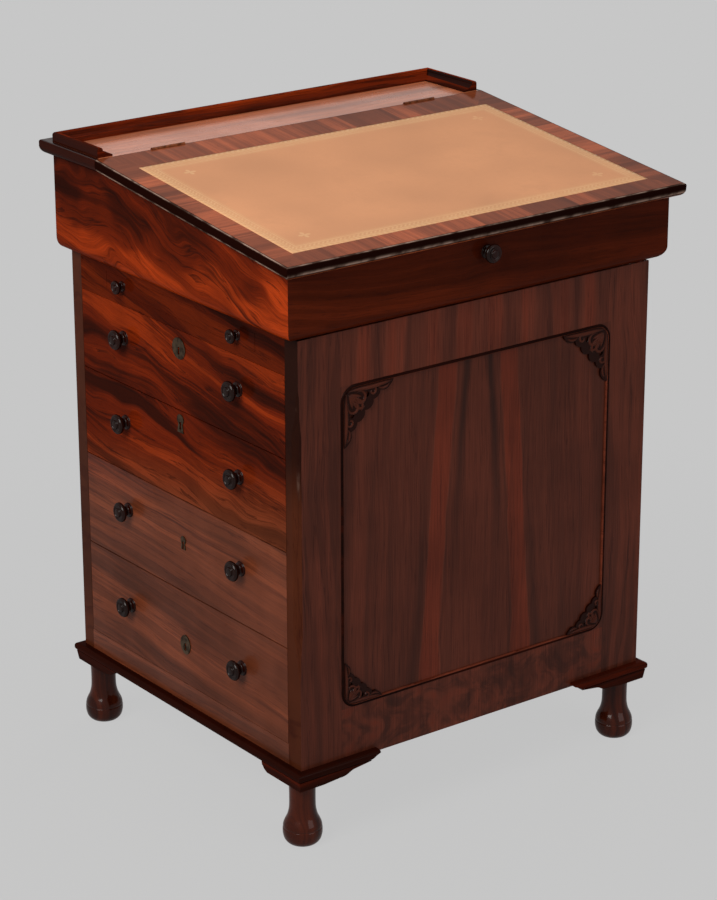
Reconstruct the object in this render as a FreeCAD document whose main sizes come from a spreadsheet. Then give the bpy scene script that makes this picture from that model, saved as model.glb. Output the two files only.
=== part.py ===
"""Davenport desk, millimetres.

The desk stands on its turned feet with +Z up.  The writer sits at -Y and the working drawers open
towards -X; the +X side carries false drawer fronts.  The origin is on the floor under the middle of
the overall outline.  A pedestal of drawers carries a sloping desk box that slides forward on runners.
The box has a hinged lid with a leather writing surface, a fixed shelf with a low gallery and a small
fitted bank with two inner drawers.
"""
import FreeCAD, Part
import math
import os
import Sketcher

SIZES = {
    # carcase of the pedestal
    "carcase_width": 550,
    "carcase_depth": 494,
    "front_board": 18,
    "back_board": 18,
    "front_stile": 26,
    "back_stile": 21,
    "facing": 20,
    "side_board": 14,
    "false_facing": 12,
    "dust_board": 10,
    "top_board": 12,
    "front_drop": 6,
    # heights, from the floor up
    "foot_height": 85,
    "bracket_height": 13,
    "plinth_height": 11,
    "bottom_rail": 27.5,
    "drawer_4_height": 127.5,
    "drawer_3_height": 125.6,
    "drawer_2_height": 118.9,
    "drawer_1_height": 105.5,
    "top_rail": 14,
    "slide_space": 23,
    # plinth, brackets and feet
    "plinth_nose": 11,
    "plinth_rail": 45,
    "plinth_round": 4.5,
    "front_return": 115,
    "bracket_setback": 2,
    "bracket_batter": 2,
    "bracket_thickness": 18,
    "foot_seat_margin": 1,
    "side_wing": 81,
    "side_wing_flat": 72,
    "back_wing": 94,
    "back_wing_flat": 54,
    "foot_inset_side": 17,
    "foot_inset_front": 21.7,
    "foot_inset_back": 15,
    "foot_base": 14,
    "foot_belly": 25,
    "foot_belly_height": 17,
    "foot_ring_height": 22,
    "foot_ring": 1.5,
    "foot_waist_height": 50,
    "foot_neck": 16.5,
    "foot_flare": 2,
    "foot_flare_height": 10,
    # sunk field of the front board
    "field_side_margin": 62,
    "field_low_margin": 71,
    "field_high_margin": 69,
    "field_depth": 2,
    "field_corner": 22,
    "bead_width": 4.5,
    "bead_height": 3.2,
    "fret_thickness": 3,
    "low_fret_leg": 57,
    "high_fret_leg": 74,
    # stopped chamfer of the front stile
    "chamfer_side": 14,
    "chamfer_front": 4,
    "chamfer_low_margin": 119,
    "chamfer_high_margin": 60,
    "chamfer_stop": 60,
    # drawers
    "drawer_gap": 0.75,
    "running_clearance": 0.3,
    "drawer_headroom": 3,
    "drawer_lining": 10,
    "drawer_lap": 6,
    "drawer_end_gap": 9,
    "drawer_bottom": 6,
    "bottom_lift": 8,
    "bottom_groove": 3,
    "guide_height": 22,
    "stop_width": 40,
    "stop_depth": 8.5,
    "knob_spread": 126,
    "knob_radius": 13,
    "knob_reach": 19,
    "spigot_radius": 5,
    "spigot_length": 12,
    "spigot_clearance": 0.2,
    "lock_width": 44,
    "lock_height": 30,
    "lock_depth": 7,
    "key_radius": 2.2,
    "key_drop": 8,
    "escutcheon_thickness": 1,
    "round_plate_radius": 14,
    "oval_plate_width": 22,
    "oval_plate_height": 27,
    "tall_plate_head": 7,
    "tall_plate_skirt": 17,
    "small_plate_head": 5.5,
    "small_plate_skirt": 12,
    # writing slide
    "slide_board": 18,
    "slide_inset": 60,
    "slide_length": 440,
    "slide_knob_radius": 9,
    "slide_knob_reach": 14,
    # desk box
    "box_side_overhang": 21,
    "box_front_overhang": 11,
    "box_back_overhang": 2,
    "box_lift": 1,
    "box_wall": 18,
    "box_round": 17,
    "runner_height": 9,
    "runner_width": 20,
    "runner_place": 200,
    "box_bottom": 10,
    "box_front_height": 100,
    "box_knob_radius": 12,
    "box_knob_reach": 17,
    "box_knob_drop": 38,
    # lid and fixed shelf
    "lid_thickness": 18,
    "lid_rise": 44,
    "shelf_depth": 131.75,
    "lid_front_nose": 17.5,
    "lid_side_nose": 13,
    "shelf_back_nose": 13,
    "edge_round_top": 3,
    "edge_round_low": 10,
    "joint_gap": 0.3,
    "leather_side_margin": 33,
    "leather_front_margin": 36,
    "leather_back_margin": 48,
    "leather_thickness": 1.2,
    # gallery
    "gallery_height": 13,
    "gallery_top": 8,
    "gallery_base": 22,
    "gallery_quirk": 2,
    "gallery_side_inset": 7,
    "gallery_back_inset": 22,
    "gallery_front_inset": 4,
    # lid hinges
    "hinge_place": 200,
    "hinge_length": 50,
    "hinge_leaf": 1.5,
    "hinge_leaf_height": 12,
    "knuckle_radius": 2.4,
    "pin_radius": 1.1,
    "pin_clearance": 0.08,
    # fitted bank inside the box
    "bank_board": 7,
    "bank_setback": 6,
    "inner_drawer_height": 42,
    "inner_wall": 6,
    "inner_floor": 4,
    "inner_knob_radius": 6,
    "inner_knob_reach": 12,
    # how far a cutting form reaches past the wood
    "tool_margin": 1,
}

TAILS = 3
PIGEONHOLES = 4
# an edge runs straight along an axis when it spreads less than this across it
STRAIGHT = 1
# keyhole-shaped escutcheons: how far the head stands over the keyhole, and how far the skirt flares
PLATE_LIFT = 0.28
PLATE_FLARE = 0.95

doc = FreeCAD.newDocument("DavenportDesk")
sheet = doc.addObject("Spreadsheet::Sheet", "Sizes")
for row, (alias, number) in enumerate(SIZES.items(), 1):
    sheet.set(f"A{row}", alias)
    sheet.set(f"B{row}", str(number))
    sheet.setAlias(f"B{row}", alias)
doc.recompute()


class Size:
    """A length together with the sheet formula that gives it."""

    def __init__(self, value, formula):
        self.value = value
        self.formula = formula

    def __add__(self, other):
        other = as_size(other)
        return Size(self.value + other.value, f"({self.formula} + {other.formula})")

    def __radd__(self, other):
        return as_size(other) + self

    def __sub__(self, other):
        other = as_size(other)
        return Size(self.value - other.value, f"({self.formula} - {other.formula})")

    def __rsub__(self, other):
        return as_size(other) - self

    def __mul__(self, other):
        other = as_size(other)
        return Size(self.value * other.value, f"({self.formula} * {other.formula})")

    def __rmul__(self, other):
        return as_size(other) * self

    def __truediv__(self, other):
        other = as_size(other)
        return Size(self.value / other.value, f"({self.formula} / {other.formula})")

    def __neg__(self):
        return Size(-self.value, f"(0 - {self.formula})")


def as_size(number):
    """Plain numbers join the sheet sizes in a formula."""
    if isinstance(number, Size):
        return number
    return Size(float(number), f"({float(number)!r})")


def root(square):
    """Square root of a size expression."""
    return Size(math.sqrt(square.value), f"sqrt({square.formula})")


class SheetSizes:
    """Gives each cell of the sheet as a Size under its alias."""

    def __getattr__(self, alias):
        return Size(float(sheet.get(alias)), "Sizes." + alias)


s = SheetSizes()

# ---------------------------------------------------------------- places that the pieces share

overall_depth = (s.carcase_depth + s.box_front_overhang + s.lid_front_nose
                 + s.box_back_overhang + s.shelf_back_nose)
x_side = s.carcase_width / 2
y_front = s.lid_front_nose + s.box_front_overhang - overall_depth / 2
y_back = y_front + s.carcase_depth
y_opening_front = y_front + s.front_stile
y_opening_back = y_back - s.back_stile
y_inside_front = y_front + s.front_board
y_inside_back = y_back - s.back_board
x_facing = s.facing - x_side
x_false = x_side - s.false_facing
x_inside_right = x_false - s.side_board
y_drawer_middle = (y_opening_front + y_opening_back) / 2
y_slide_front = y_opening_front + s.slide_inset
y_slide_back = y_opening_back - s.slide_inset
z_bracket = s.foot_height
z_plinth = z_bracket + s.bracket_height
z_carcase = z_plinth + s.plinth_height
z_front = z_carcase - s.front_drop
z_drawer_4 = z_carcase + s.bottom_rail
z_drawer_3 = z_drawer_4 + s.drawer_4_height
z_drawer_2 = z_drawer_3 + s.drawer_3_height
z_drawer_1 = z_drawer_2 + s.drawer_2_height
z_top_rail = z_drawer_1 + s.drawer_1_height
z_slide = z_top_rail + s.top_rail
z_top_board = z_slide + s.slide_space
z_pedestal = z_top_board + s.top_board
z_box = z_pedestal + s.box_lift
z_runner = z_pedestal + s.running_clearance
z_box_bottom = z_runner + s.runner_height
z_box_floor = z_box_bottom + s.box_bottom
x_box = x_side + s.box_side_overhang
y_box_front = y_front - s.box_front_overhang
y_box_back = y_back + s.box_back_overhang
x_box_inside = x_box - s.box_wall
y_box_inside_front = y_box_front + s.box_wall
y_box_inside_back = y_box_back - s.box_wall
x_lid = x_box + s.lid_side_nose
y_lid_front = y_box_front - s.lid_front_nose
y_shelf_back = y_box_back + s.shelf_back_nose
y_hinge = y_shelf_back - s.shelf_depth
z_lid_front = z_box + s.box_front_height
z_shelf = z_lid_front + s.lid_rise
z_box_knob = z_lid_front - s.box_knob_drop
z_shelf_low = z_shelf - s.lid_thickness
lid_slope = s.lid_rise / (y_hinge - y_lid_front)
lid_stretch = root(1 + lid_slope * lid_slope)


def lid_top(y):
    """Height of the lid's upper face at a place along Y."""
    return z_shelf - (y_hinge - y) * lid_slope


def lid_underside(y):
    """Height of the lid's lower face at a place along Y."""
    return lid_top(y) - s.lid_thickness * lid_stretch


# ---------------------------------------------------------------- ways of making a piece

PLANES = {
    # plane name: sketch normal along the free axis
    "XY": 1,
    "XZ": -1,
    "YZ": 1,
}


def bulge_centre(start, end, radius):
    """Centre of the short arc from start to end; a positive radius turns to the left."""
    middle = (start + end) / 2
    chord = end - start
    half = chord.Length / 2
    reach = math.sqrt(max(radius * radius - half * half, 0.0))
    across = FreeCAD.Vector(-chord.y, chord.x, 0).normalize()
    return middle + across * math.copysign(reach, radius)


def add_edge(sketch, start, end, bend):
    """Adds a line, or an arc where bend gives a radius; returns its index and its two end marks."""
    if bend is None:
        return sketch.addGeometry(Part.LineSegment(start, end), False), 1, 2
    centre = bulge_centre(start, end, bend.value)
    turns = (start, end) if bend.value > 0 else (end, start)
    angles = [math.atan2(point.y - centre.y, point.x - centre.x) for point in turns]
    circle = Part.Circle(centre, FreeCAD.Vector(0, 0, 1), abs(bend.value))
    index = sketch.addGeometry(Part.ArcOfCircle(circle, *angles), False)
    marks = (1, 2) if bend.value > 0 else (2, 1)
    return (index,) + marks


def bind_constraint(sketch, constraint, formula):
    """Adds a dimension that follows a formula."""
    index = sketch.addConstraint(constraint)
    sketch.setExpression(f"Constraints[{index}]", formula)


def draw_outline(sketch, corners):
    """Draws a closed outline; a corner is (x, y), or (x, y, radius) where an arc leads to it."""
    corners = [tuple(as_size(part) for part in corner) for corner in corners]
    points = [FreeCAD.Vector(corner[0].value, corner[1].value, 0) for corner in corners]
    edges = []
    for number, start in enumerate(points):
        following = (number + 1) % len(points)
        bend = corners[following][2] if len(corners[following]) > 2 else None
        edges.append(add_edge(sketch, start, points[following], bend))
    for number, (edge, first, last) in enumerate(edges):
        next_edge, next_first, _ = edges[(number + 1) % len(edges)]
        sketch.addConstraint(Sketcher.Constraint("Coincident", edge, last, next_edge, next_first))
    for number, (edge, first, last) in enumerate(edges):
        x, y = corners[number][:2]
        before = corners[number - 1]
        straight = number > 0 and len(corners[number]) == 2
        if straight and before[0].formula == x.formula:
            sketch.addConstraint(Sketcher.Constraint("Vertical", edges[number - 1][0]))
        else:
            bind_constraint(sketch, Sketcher.Constraint("DistanceX", edge, first, x.value), x.formula)
        if straight and before[1].formula == y.formula:
            sketch.addConstraint(Sketcher.Constraint("Horizontal", edges[number - 1][0]))
        else:
            bind_constraint(sketch, Sketcher.Constraint("DistanceY", edge, first, y.value), y.formula)
        following = corners[(number + 1) % len(corners)]
        if len(following) > 2:
            radius = following[2] if following[2].value > 0 else -following[2]
            bind_constraint(sketch, Sketcher.Constraint("Radius", edge, radius.value), radius.formula)


def draw_circle(sketch, x, y, radius):
    """Draws a circle bound at its centre and radius."""
    x, y, radius = as_size(x), as_size(y), as_size(radius)
    centre = FreeCAD.Vector(x.value, y.value, 0)
    edge = sketch.addGeometry(Part.Circle(centre, FreeCAD.Vector(0, 0, 1), radius.value), False)
    bind_constraint(sketch, Sketcher.Constraint("DistanceX", edge, 3, x.value), x.formula)
    bind_constraint(sketch, Sketcher.Constraint("DistanceY", edge, 3, y.value), y.formula)
    bind_constraint(sketch, Sketcher.Constraint("Radius", edge, radius.value), radius.formula)


def draw_path(sketch, corners):
    """Draws an open run of straight lines through bound corners."""
    points = [FreeCAD.Vector(x.value, y.value, 0) for x, y in corners]
    edges = [sketch.addGeometry(Part.LineSegment(*ends), False) for ends in zip(points, points[1:])]
    for edge, following in zip(edges, edges[1:]):
        sketch.addConstraint(Sketcher.Constraint("Coincident", edge, 2, following, 1))
    marks = [(edge, 1) for edge in edges] + [(edges[-1], 2)]
    for (edge, mark), (x, y) in zip(marks, corners):
        bind_constraint(sketch, Sketcher.Constraint("DistanceX", edge, mark, x.value), x.formula)
        bind_constraint(sketch, Sketcher.Constraint("DistanceY", edge, mark, y.value), y.formula)


def closing_radius(run, rise):
    """Radius of the arc that covers a run and a rise and ends along the rise."""
    return (run * run + rise * rise) / (2 * run)


class Piece:
    """A PartDesign body made from sketches bound to the sheet."""

    def __init__(self, name):
        self.body = doc.addObject("PartDesign::Body", name)

    def sketch(self, plane, at, outline, circles=()):
        """A sketch parallel to an origin plane, at a place along that plane's free axis."""
        role = plane + "_Plane"
        support = next(item for item in self.body.Origin.OriginFeatures if item.Role == role)
        sketch = self.body.newObject("Sketcher::SketchObject", self.body.Name + "Sketch")
        sketch.AttachmentSupport = [(support, "")]
        sketch.MapMode = "FlatFace"
        sketch.setExpression("AttachmentOffset.Base.z", (at * PLANES[plane]).formula)
        if outline:
            draw_outline(sketch, outline)
        for circle in circles:
            draw_circle(sketch, *circle)
        return sketch

    def pad(self, plane, outline, low, high, circles=()):
        """Adds a prism that fills the span from low to high along the plane's free axis."""
        low, high = as_size(low), as_size(high)
        start = low if PLANES[plane] > 0 else high
        profile = self.sketch(plane, start, outline, circles)
        feature = self.body.newObject("PartDesign::Pad", self.body.Name + "Pad")
        feature.Profile = profile
        feature.setExpression("Length", (high - low).formula)
        return self

    def pocket(self, plane, outline, low, high, circles=()):
        """Removes a prism that fills the span from low to high along the plane's free axis."""
        low, high = as_size(low), as_size(high)
        start = high if PLANES[plane] > 0 else low
        profile = self.sketch(plane, start, outline, circles)
        feature = self.body.newObject("PartDesign::Pocket", self.body.Name + "Pocket")
        feature.Profile = profile
        feature.setExpression("Length", (high - low).formula)
        return self

    def loft(self, sections):
        """Joins outlines at several heights with straight sides."""
        drawings = [self.sketch("XY", height, outline) for height, outline in sections]
        feature = self.body.newObject("PartDesign::AdditiveLoft", self.body.Name + "Loft")
        feature.Profile = drawings[0]
        feature.Sections = drawings[1:]
        feature.Ruled = True
        return self

    def sweep(self, profile, path):
        """Carries a profile sketch along a path sketch, with sharp mitres."""
        feature = self.body.newObject("PartDesign::AdditivePipe", self.body.Name + "Sweep")
        feature.Profile = profile
        feature.Spine = path
        feature.Transition = "Right corner"
        return self

    def dress(self, kind, measure, radius, chosen):
        """Dresses the chosen edges of the body's latest shape."""
        doc.recompute()
        tip = self.body.Tip
        edges = [f"Edge{n}" for n, edge in enumerate(tip.Shape.Edges, 1) if chosen(edge)]
        feature = self.body.newObject("PartDesign::" + kind, self.body.Name + kind)
        feature.Base = (tip, edges)
        feature.setExpression(measure, as_size(radius).formula)
        return self

    def fillet(self, radius, chosen):
        """Rounds the chosen edges."""
        return self.dress("Fillet", "Radius", radius, chosen)

    def place(self, x=0, y=0, z=0):
        """Moves the whole body."""
        for axis, value in zip("xyz", (x, y, z)):
            self.body.setExpression("Placement.Base." + axis, as_size(value).formula)
        return self


TURNING = {
    # axis: sketch plane, sketch axis, and how a (radius, along) pair lies in the sketch
    "+Z": ("XZ", "V_Axis", lambda radius, along: (radius, along), 1),
    "-X": ("XY", "H_Axis", lambda radius, along: (-along, radius), 1),
    "+X": ("XY", "H_Axis", lambda radius, along: (along, radius), -1),
    "-Y": ("XY", "V_Axis", lambda radius, along: (radius, -along), -1),
}


def turned(name, axis, profile, place):
    """A turned piece: the profile lists (radius, distance along the axis) from one end to the other."""
    plane, sketch_axis, lay, hand = TURNING[axis]
    corners = []
    for corner in profile:
        radius, along = as_size(corner[0]), as_size(corner[1])
        bend = tuple(as_size(part) * hand for part in corner[2:])
        corners.append(tuple(lay(radius, along)) + bend)
    piece = Piece(name)
    drawing = piece.sketch(plane, as_size(0), corners)
    feature = piece.body.newObject("PartDesign::Revolution", name + "Turning")
    feature.Profile = drawing
    feature.ReferenceAxis = (drawing, [sketch_axis])
    feature.Angle = 360
    return piece.place(*place).body


def rectangle(x, y):
    """Corners of a rectangle from two (low, high) spans."""
    return [(x[0], y[0]), (x[1], y[0]), (x[1], y[1]), (x[0], y[1])]


def rounded_rectangle(x, y, radius):
    """Corners of a rectangle with rounded corners."""
    return [
        (x[0] + radius, y[0]), (x[1] - radius, y[0]),
        (x[1], y[0] + radius, radius), (x[1], y[1] - radius),
        (x[1] - radius, y[1], radius), (x[0] + radius, y[1]),
        (x[0], y[1] - radius, radius), (x[0], y[0] + radius),
        (x[0] + radius, y[0], radius),
    ][1:]


def block(name, x, y, z):
    """A rectangular board between two places on each axis."""
    board = doc.addObject("Part::Box", name)
    for measure, axis, (low, high) in zip(("Length", "Width", "Height"), "xyz", (x, y, z)):
        low, high = as_size(low), as_size(high)
        board.setExpression(measure, (high - low).formula)
        board.setExpression("Placement.Base." + axis, low.formula)
    return board


ROTATIONS = {
    "X": FreeCAD.Rotation(FreeCAD.Vector(0, 1, 0), 90),
    "Y": FreeCAD.Rotation(FreeCAD.Vector(1, 0, 0), -90),
    "Z": FreeCAD.Rotation(),
}


def cylinder(name, axis, radius, length, place):
    """A cylinder along an axis, from its start place."""
    rod = doc.addObject("Part::Cylinder", name)
    rod.Placement = FreeCAD.Placement(FreeCAD.Vector(), ROTATIONS[axis])
    rod.setExpression("Radius", as_size(radius).formula)
    rod.setExpression("Height", as_size(length).formula)
    for letter, value in zip("xyz", place):
        rod.setExpression("Placement.Base." + letter, as_size(value).formula)
    return rod


def group(name, parts):
    """Several solids kept together as one object."""
    compound = doc.addObject("Part::Compound", name)
    compound.Links = parts
    return compound


def cut(name, base, tools):
    """The base without the tools, which may touch but don't overlap each other."""
    tool = tools[0] if len(tools) == 1 else group(name + "Tools", tools)
    feature = doc.addObject("Part::Cut", name)
    feature.Base = base
    feature.Tool = tool
    return feature


def common(name, base, tool):
    """The part of the base that lies inside the tool."""
    feature = doc.addObject("Part::Common", name)
    feature.Base = base
    feature.Tool = tool
    return feature


def joined(name, parts):
    """One solid made from several."""
    feature = doc.addObject("Part::MultiFuse", name)
    feature.Shapes = parts
    feature.Refine = True
    return feature


def mirrored(name, source, normal, **base):
    """A mirror image; base names the mirror plane's place on its axis, if it isn't zero."""
    feature = doc.addObject("Part::Mirroring", name)
    feature.Source = source
    feature.Normal = FreeCAD.Vector(*normal)
    for axis, value in base.items():
        feature.setExpression("Base." + axis, value.formula)
    return feature


ACROSS_X = (1, 0, 0)
ACROSS_Y = (0, 1, 0)
NODES = []


def node(name, shape):
    """Keeps a finished sub-part under its node name."""
    shape = shape.body if isinstance(shape, Piece) else shape
    shape.Label = name
    NODES.append(shape)
    return shape


def near(value, size, slack=0.01):
    """Whether a measured place is the given size."""
    return abs(value - size.value) < slack


# ---------------------------------------------------------------- turned work

def foot(name, x, y):
    """A club foot: a rounded belly with an incised ring, a bell-shaped neck and a flared top."""
    belly, ring, neck = s.foot_belly, s.foot_ring, s.foot_neck
    shoulder = belly - ring / 2
    z_shoulder = s.foot_ring_height + ring
    profile = [
        (0, 0),
        (s.foot_base, 0),
        (belly, s.foot_belly_height, closing_radius(belly - s.foot_base, s.foot_belly_height)),
        (belly, s.foot_ring_height - ring),
        (belly - ring, s.foot_ring_height),
        (shoulder, z_shoulder),
        (neck, s.foot_waist_height, -closing_radius(shoulder - neck, s.foot_waist_height - z_shoulder)),
        (neck, s.foot_height - s.foot_flare_height),
        (neck + s.foot_flare, s.foot_height, -closing_radius(s.foot_flare, s.foot_flare_height)),
        (0, s.foot_height),
    ]
    return turned(name, "+Z", profile, (x, y, 0))


def pull_knob(name, axis, place, radius, reach, spigot=None):
    """A turned mushroom knob with a collar, a waist and a dished button face."""
    profile = [
        (radius * 0.72, 0),
        (radius * 0.72, reach * 0.12),
        (radius * 0.45, reach * 0.32),
        (radius * 0.92, reach * 0.56),
        (radius, reach * 0.7),
        (radius * 0.86, reach * 0.9),
        (radius * 0.5, reach * 0.86),
        (0, reach),
    ]
    if spigot is None:
        start = [(0, 0)]
    else:
        spigot_radius, spigot_length = spigot
        start = [(0, -spigot_length), (spigot_radius, -spigot_length), (spigot_radius, 0)]
    return turned(name, axis, start + profile, place)


# ---------------------------------------------------------------- plinth, brackets and feet

def front_wing_edge(corner, tip, low):
    """Space under a front bracket, seen from the front: an ogee that rises to the front board."""
    rise = z_front - z_bracket
    wing = s.front_return
    return [
        (corner, low),
        (tip, low),
        (tip, z_bracket + rise * 1.15),
        (tip - wing * 0.03, z_bracket + rise * 1.08),
        (tip - wing * 0.12, z_bracket + rise * 0.68, wing * 0.2),
        (tip - wing * 0.33, z_bracket + rise * 0.5),
        (tip - wing * 0.4, z_bracket + rise * 0.34, wing * 0.15),
        (tip - wing * 0.53, z_bracket + rise * 0.13, -wing * 0.2),
        (tip - wing * 0.75, z_bracket),
        (corner, z_bracket),
    ]


def side_wing_edge(corner, turn, level, length):
    """Space under a side bracket: level near the foot, then a hollow taper that dies against the plinth."""
    low = z_bracket - s.bracket_height
    rise = s.bracket_height
    run = length - level
    start = corner + turn * level
    return [
        (start, low),
        (start, z_bracket),
        (start + turn * run * 0.69, z_bracket + rise * 0.33, turn * run * 2.8),
        (start + turn * run * 0.85, z_bracket + rise * 0.58),
        (start + turn * run, z_plinth, turn * run * 0.35),
        (start + turn * run, low),
    ]


x_plinth = x_side + s.plinth_nose
y_plinth_front = y_front - s.plinth_nose
y_plinth_back = y_back + s.plinth_nose
x_wing = x_plinth - s.bracket_setback
y_wing_front = y_plinth_front + s.bracket_setback
y_wing_back = y_plinth_back - s.bracket_setback
x_return = x_side - s.front_return
x_foot = x_side - s.foot_inset_side
y_foot_front = y_front + s.foot_inset_front
y_foot_back = y_back - s.foot_inset_back


def front_ogee(name):
    """Space under the ogee edge at the left front corner."""
    edge = front_wing_edge(-x_plinth, -x_return, z_bracket - s.bracket_height)
    piece = Piece(name)
    piece.pad("XZ", edge, y_plinth_front, y_inside_front)
    return piece.body


def plinth_frame():
    """Moulded frame; its front rail steps back behind the front board between two short returns."""
    outline = [
        (-x_plinth, y_plinth_front), (-x_return, y_plinth_front), (-x_return, y_inside_front),
        (x_return, y_inside_front), (x_return, y_plinth_front), (x_plinth, y_plinth_front),
        (x_plinth, y_plinth_back), (-x_plinth, y_plinth_back),
    ]
    frame = Piece("PlinthBoard").pad("XY", outline, z_plinth, z_carcase)

    def nose_edge(edge):
        box = edge.BoundBox
        level = near(box.ZMin, z_plinth) or near(box.ZMax, z_carcase)
        flat = box.ZLength < STRAIGHT
        on_side = box.XLength < STRAIGHT and (near(box.XMin, -x_plinth) or near(box.XMax, x_plinth))
        on_back = box.YLength < STRAIGHT and near(box.YMax, y_plinth_back)
        on_front = box.YLength < STRAIGHT and near(box.YMin, y_plinth_front)
        return level and flat and (on_side or on_back or on_front)

    frame.fillet(s.plinth_round, nose_edge)
    inner_x = x_plinth - s.plinth_nose - s.plinth_rail
    inner_y = (y_inside_front + s.plinth_rail, y_back - s.plinth_rail)
    frame.pocket("XY", rectangle((-inner_x, inner_x), inner_y), z_plinth, z_carcase)
    front_seat = block("PlinthSeat", (-x_side, x_side), (y_front, y_inside_front), (z_front, z_carcase))
    left_ogee = front_ogee("PlinthOgee")
    right_ogee = mirrored("PlinthOgeeRight", left_ogee, ACROSS_X)
    seated = cut("PlinthSeated", frame.body, [front_seat])
    return cut("Plinth", seated, [left_ogee, right_ogee])


def bracket_form(name, y_corner, turn, x_end, side_reach):
    """An L of two wings whose outer faces lean in towards the foot; turn points along Y to the inside."""
    def outline(batter):
        x_out = batter - x_wing
        x_in = s.bracket_thickness - x_wing
        y_out = y_corner + turn * batter
        y_in = y_corner + turn * s.bracket_thickness
        y_end = y_corner + turn * side_reach
        return [(x_out, y_out), (x_end, y_out), (x_end, y_in), (x_in, y_in), (x_in, y_end), (x_out, y_end)]

    levels = [(z_bracket, outline(s.bracket_batter)), (z_plinth, outline(as_size(0)))]
    return Piece(name).loft(levels).body


def foot_seat(name, y_corner, turn, y_foot):
    """Round block over a left foot, flush with the outer faces of the bracket."""
    radius = s.foot_neck + s.foot_flare + s.foot_seat_margin
    y_span = (y_corner + turn * s.bracket_batter, y_foot + turn * radius)
    bounds = block(name + "Bounds", (s.bracket_batter - x_wing, radius - x_foot),
                   y_span if turn > 0 else y_span[::-1], (z_bracket, z_plinth))
    disc = cylinder(name + "Disc", "Z", radius, s.bracket_height, (-x_foot, y_foot, z_bracket))
    return common(name, disc, bounds)


def corner_bracket(name):
    """The left front bracket: an ogee front wing, a shorter side wing and the block over the foot."""
    form = bracket_form(name + "Form", y_wing_front, 1, -x_return, s.side_wing)
    side = Piece(name + "SideSpace")
    side.pad("YZ", side_wing_edge(y_wing_front, 1, s.side_wing_flat, s.side_wing),
             -x_plinth, s.bracket_thickness - x_wing)
    shaped = cut(name + "FrontShaped", form, [front_ogee(name + "Ogee")])
    both = cut(name + "Shaped", shaped, [side.body])
    return joined(name, [both, foot_seat(name + "Seat", y_wing_front, 1, y_foot_front)])


def back_bracket(name):
    """The left back bracket: two wings and the block over the foot."""
    form = bracket_form(name + "Form", y_wing_back, -1, s.back_wing - x_wing, s.back_wing)
    side = Piece(name + "SideSpace")
    side.pad("YZ", side_wing_edge(y_wing_back, -1, s.back_wing_flat, s.back_wing),
             -x_plinth, s.bracket_thickness - x_wing)
    back = Piece(name + "BackSpace")
    back.pad("XZ", side_wing_edge(-x_wing, 1, s.back_wing_flat, s.back_wing),
             y_wing_back - s.bracket_thickness, y_plinth_back)
    shaped = cut(name + "SideShaped", form, [side.body])
    both = cut(name + "Shaped", shaped, [back.body])
    return joined(name, [both, foot_seat(name + "Seat", y_wing_back, -1, y_foot_back)])


def corner_brackets():
    """Four brackets under the plinth."""
    front = corner_bracket("FrontBracket")
    back = back_bracket("BackBracket")
    images = [mirrored(part.Name + "Right", part, ACROSS_X) for part in (front, back)]
    return group("Brackets", [front, back] + images)


def feet():
    """Four turned feet."""
    feet_made = []
    for side_name, side in (("Left", -1), ("Right", 1)):
        feet_made.append(foot(f"Foot{side_name}Front", side * x_foot, y_foot_front))
        feet_made.append(foot(f"Foot{side_name}Back", side * x_foot, y_foot_back))
    return group("Feet", feet_made)


node("plinth_frame", plinth_frame())
node("corner_brackets", corner_brackets())
node("feet", feet())

# ---------------------------------------------------------------- front board and its ornament

x_field = x_side - s.field_side_margin
z_field_low = z_front + s.field_low_margin
z_field_high = z_pedestal - s.field_high_margin
field_span = ((-x_field, x_field), (z_field_low, z_field_high))
y_field = y_front + s.field_depth


def front_panel():
    """Front board with a slightly sunk field."""
    board = Piece("FrontBoard")
    board.pad("XZ", rectangle((x_facing, -x_facing), (z_front, z_pedestal)), y_front, y_inside_front)
    board.pocket("XZ", rounded_rectangle(*field_span, s.field_corner), y_front, y_field)
    return board


def panel_bead():
    """Thin rounded bead that frames the field."""
    inner_x = x_field - s.bead_width
    inner_z = (z_field_low + s.bead_width, z_field_high - s.bead_width)
    bead = Piece("Bead")
    bead.pad("XZ", rounded_rectangle(*field_span, s.field_corner), y_field - s.bead_height, y_field)
    inner = rounded_rectangle((-inner_x, inner_x), inner_z, s.field_corner - s.bead_width)
    bead.pocket("XZ", inner, y_field - s.bead_height, y_field)
    bead.fillet(s.bead_width * 0.4, lambda edge: near(edge.BoundBox.YMax, y_field - s.bead_height))
    return bead


def corner_fret(name, leg):
    """Pierced leaf scroll for the lower left corner of the field, with lobes along its free edge."""
    x = -x_field + s.bead_width
    z = z_field_low + s.bead_width
    round_corner = s.field_corner - s.bead_width
    lobes = [
        (1.0, 0.0), (0.93, 0.1), (0.74, 0.13), (0.6, 0.27), (0.42, 0.42),
        (0.27, 0.6), (0.13, 0.74), (0.1, 0.93), (0.0, 1.0),
    ]
    outline = [(x + round_corner, z), (x + leg, z)]
    outline += [(x + leg * u, z + leg * w, leg * 0.14) for u, w in lobes[1:]]
    outline += [(x, z + round_corner), (x + round_corner, z, round_corner)]
    piercings = [(0.22, 0.22, 0.07), (0.46, 0.16, 0.05), (0.16, 0.46, 0.05),
                 (0.68, 0.07, 0.03), (0.07, 0.68, 0.03), (0.37, 0.33, 0.035)]
    holes = [(x + leg * u, z + leg * w, leg * r) for u, w, r in piercings]
    fret = Piece(name)
    fret.pad("XZ", outline[1:-1] + [outline[-1]], y_field - s.fret_thickness, y_field, holes)
    return fret.body


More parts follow.
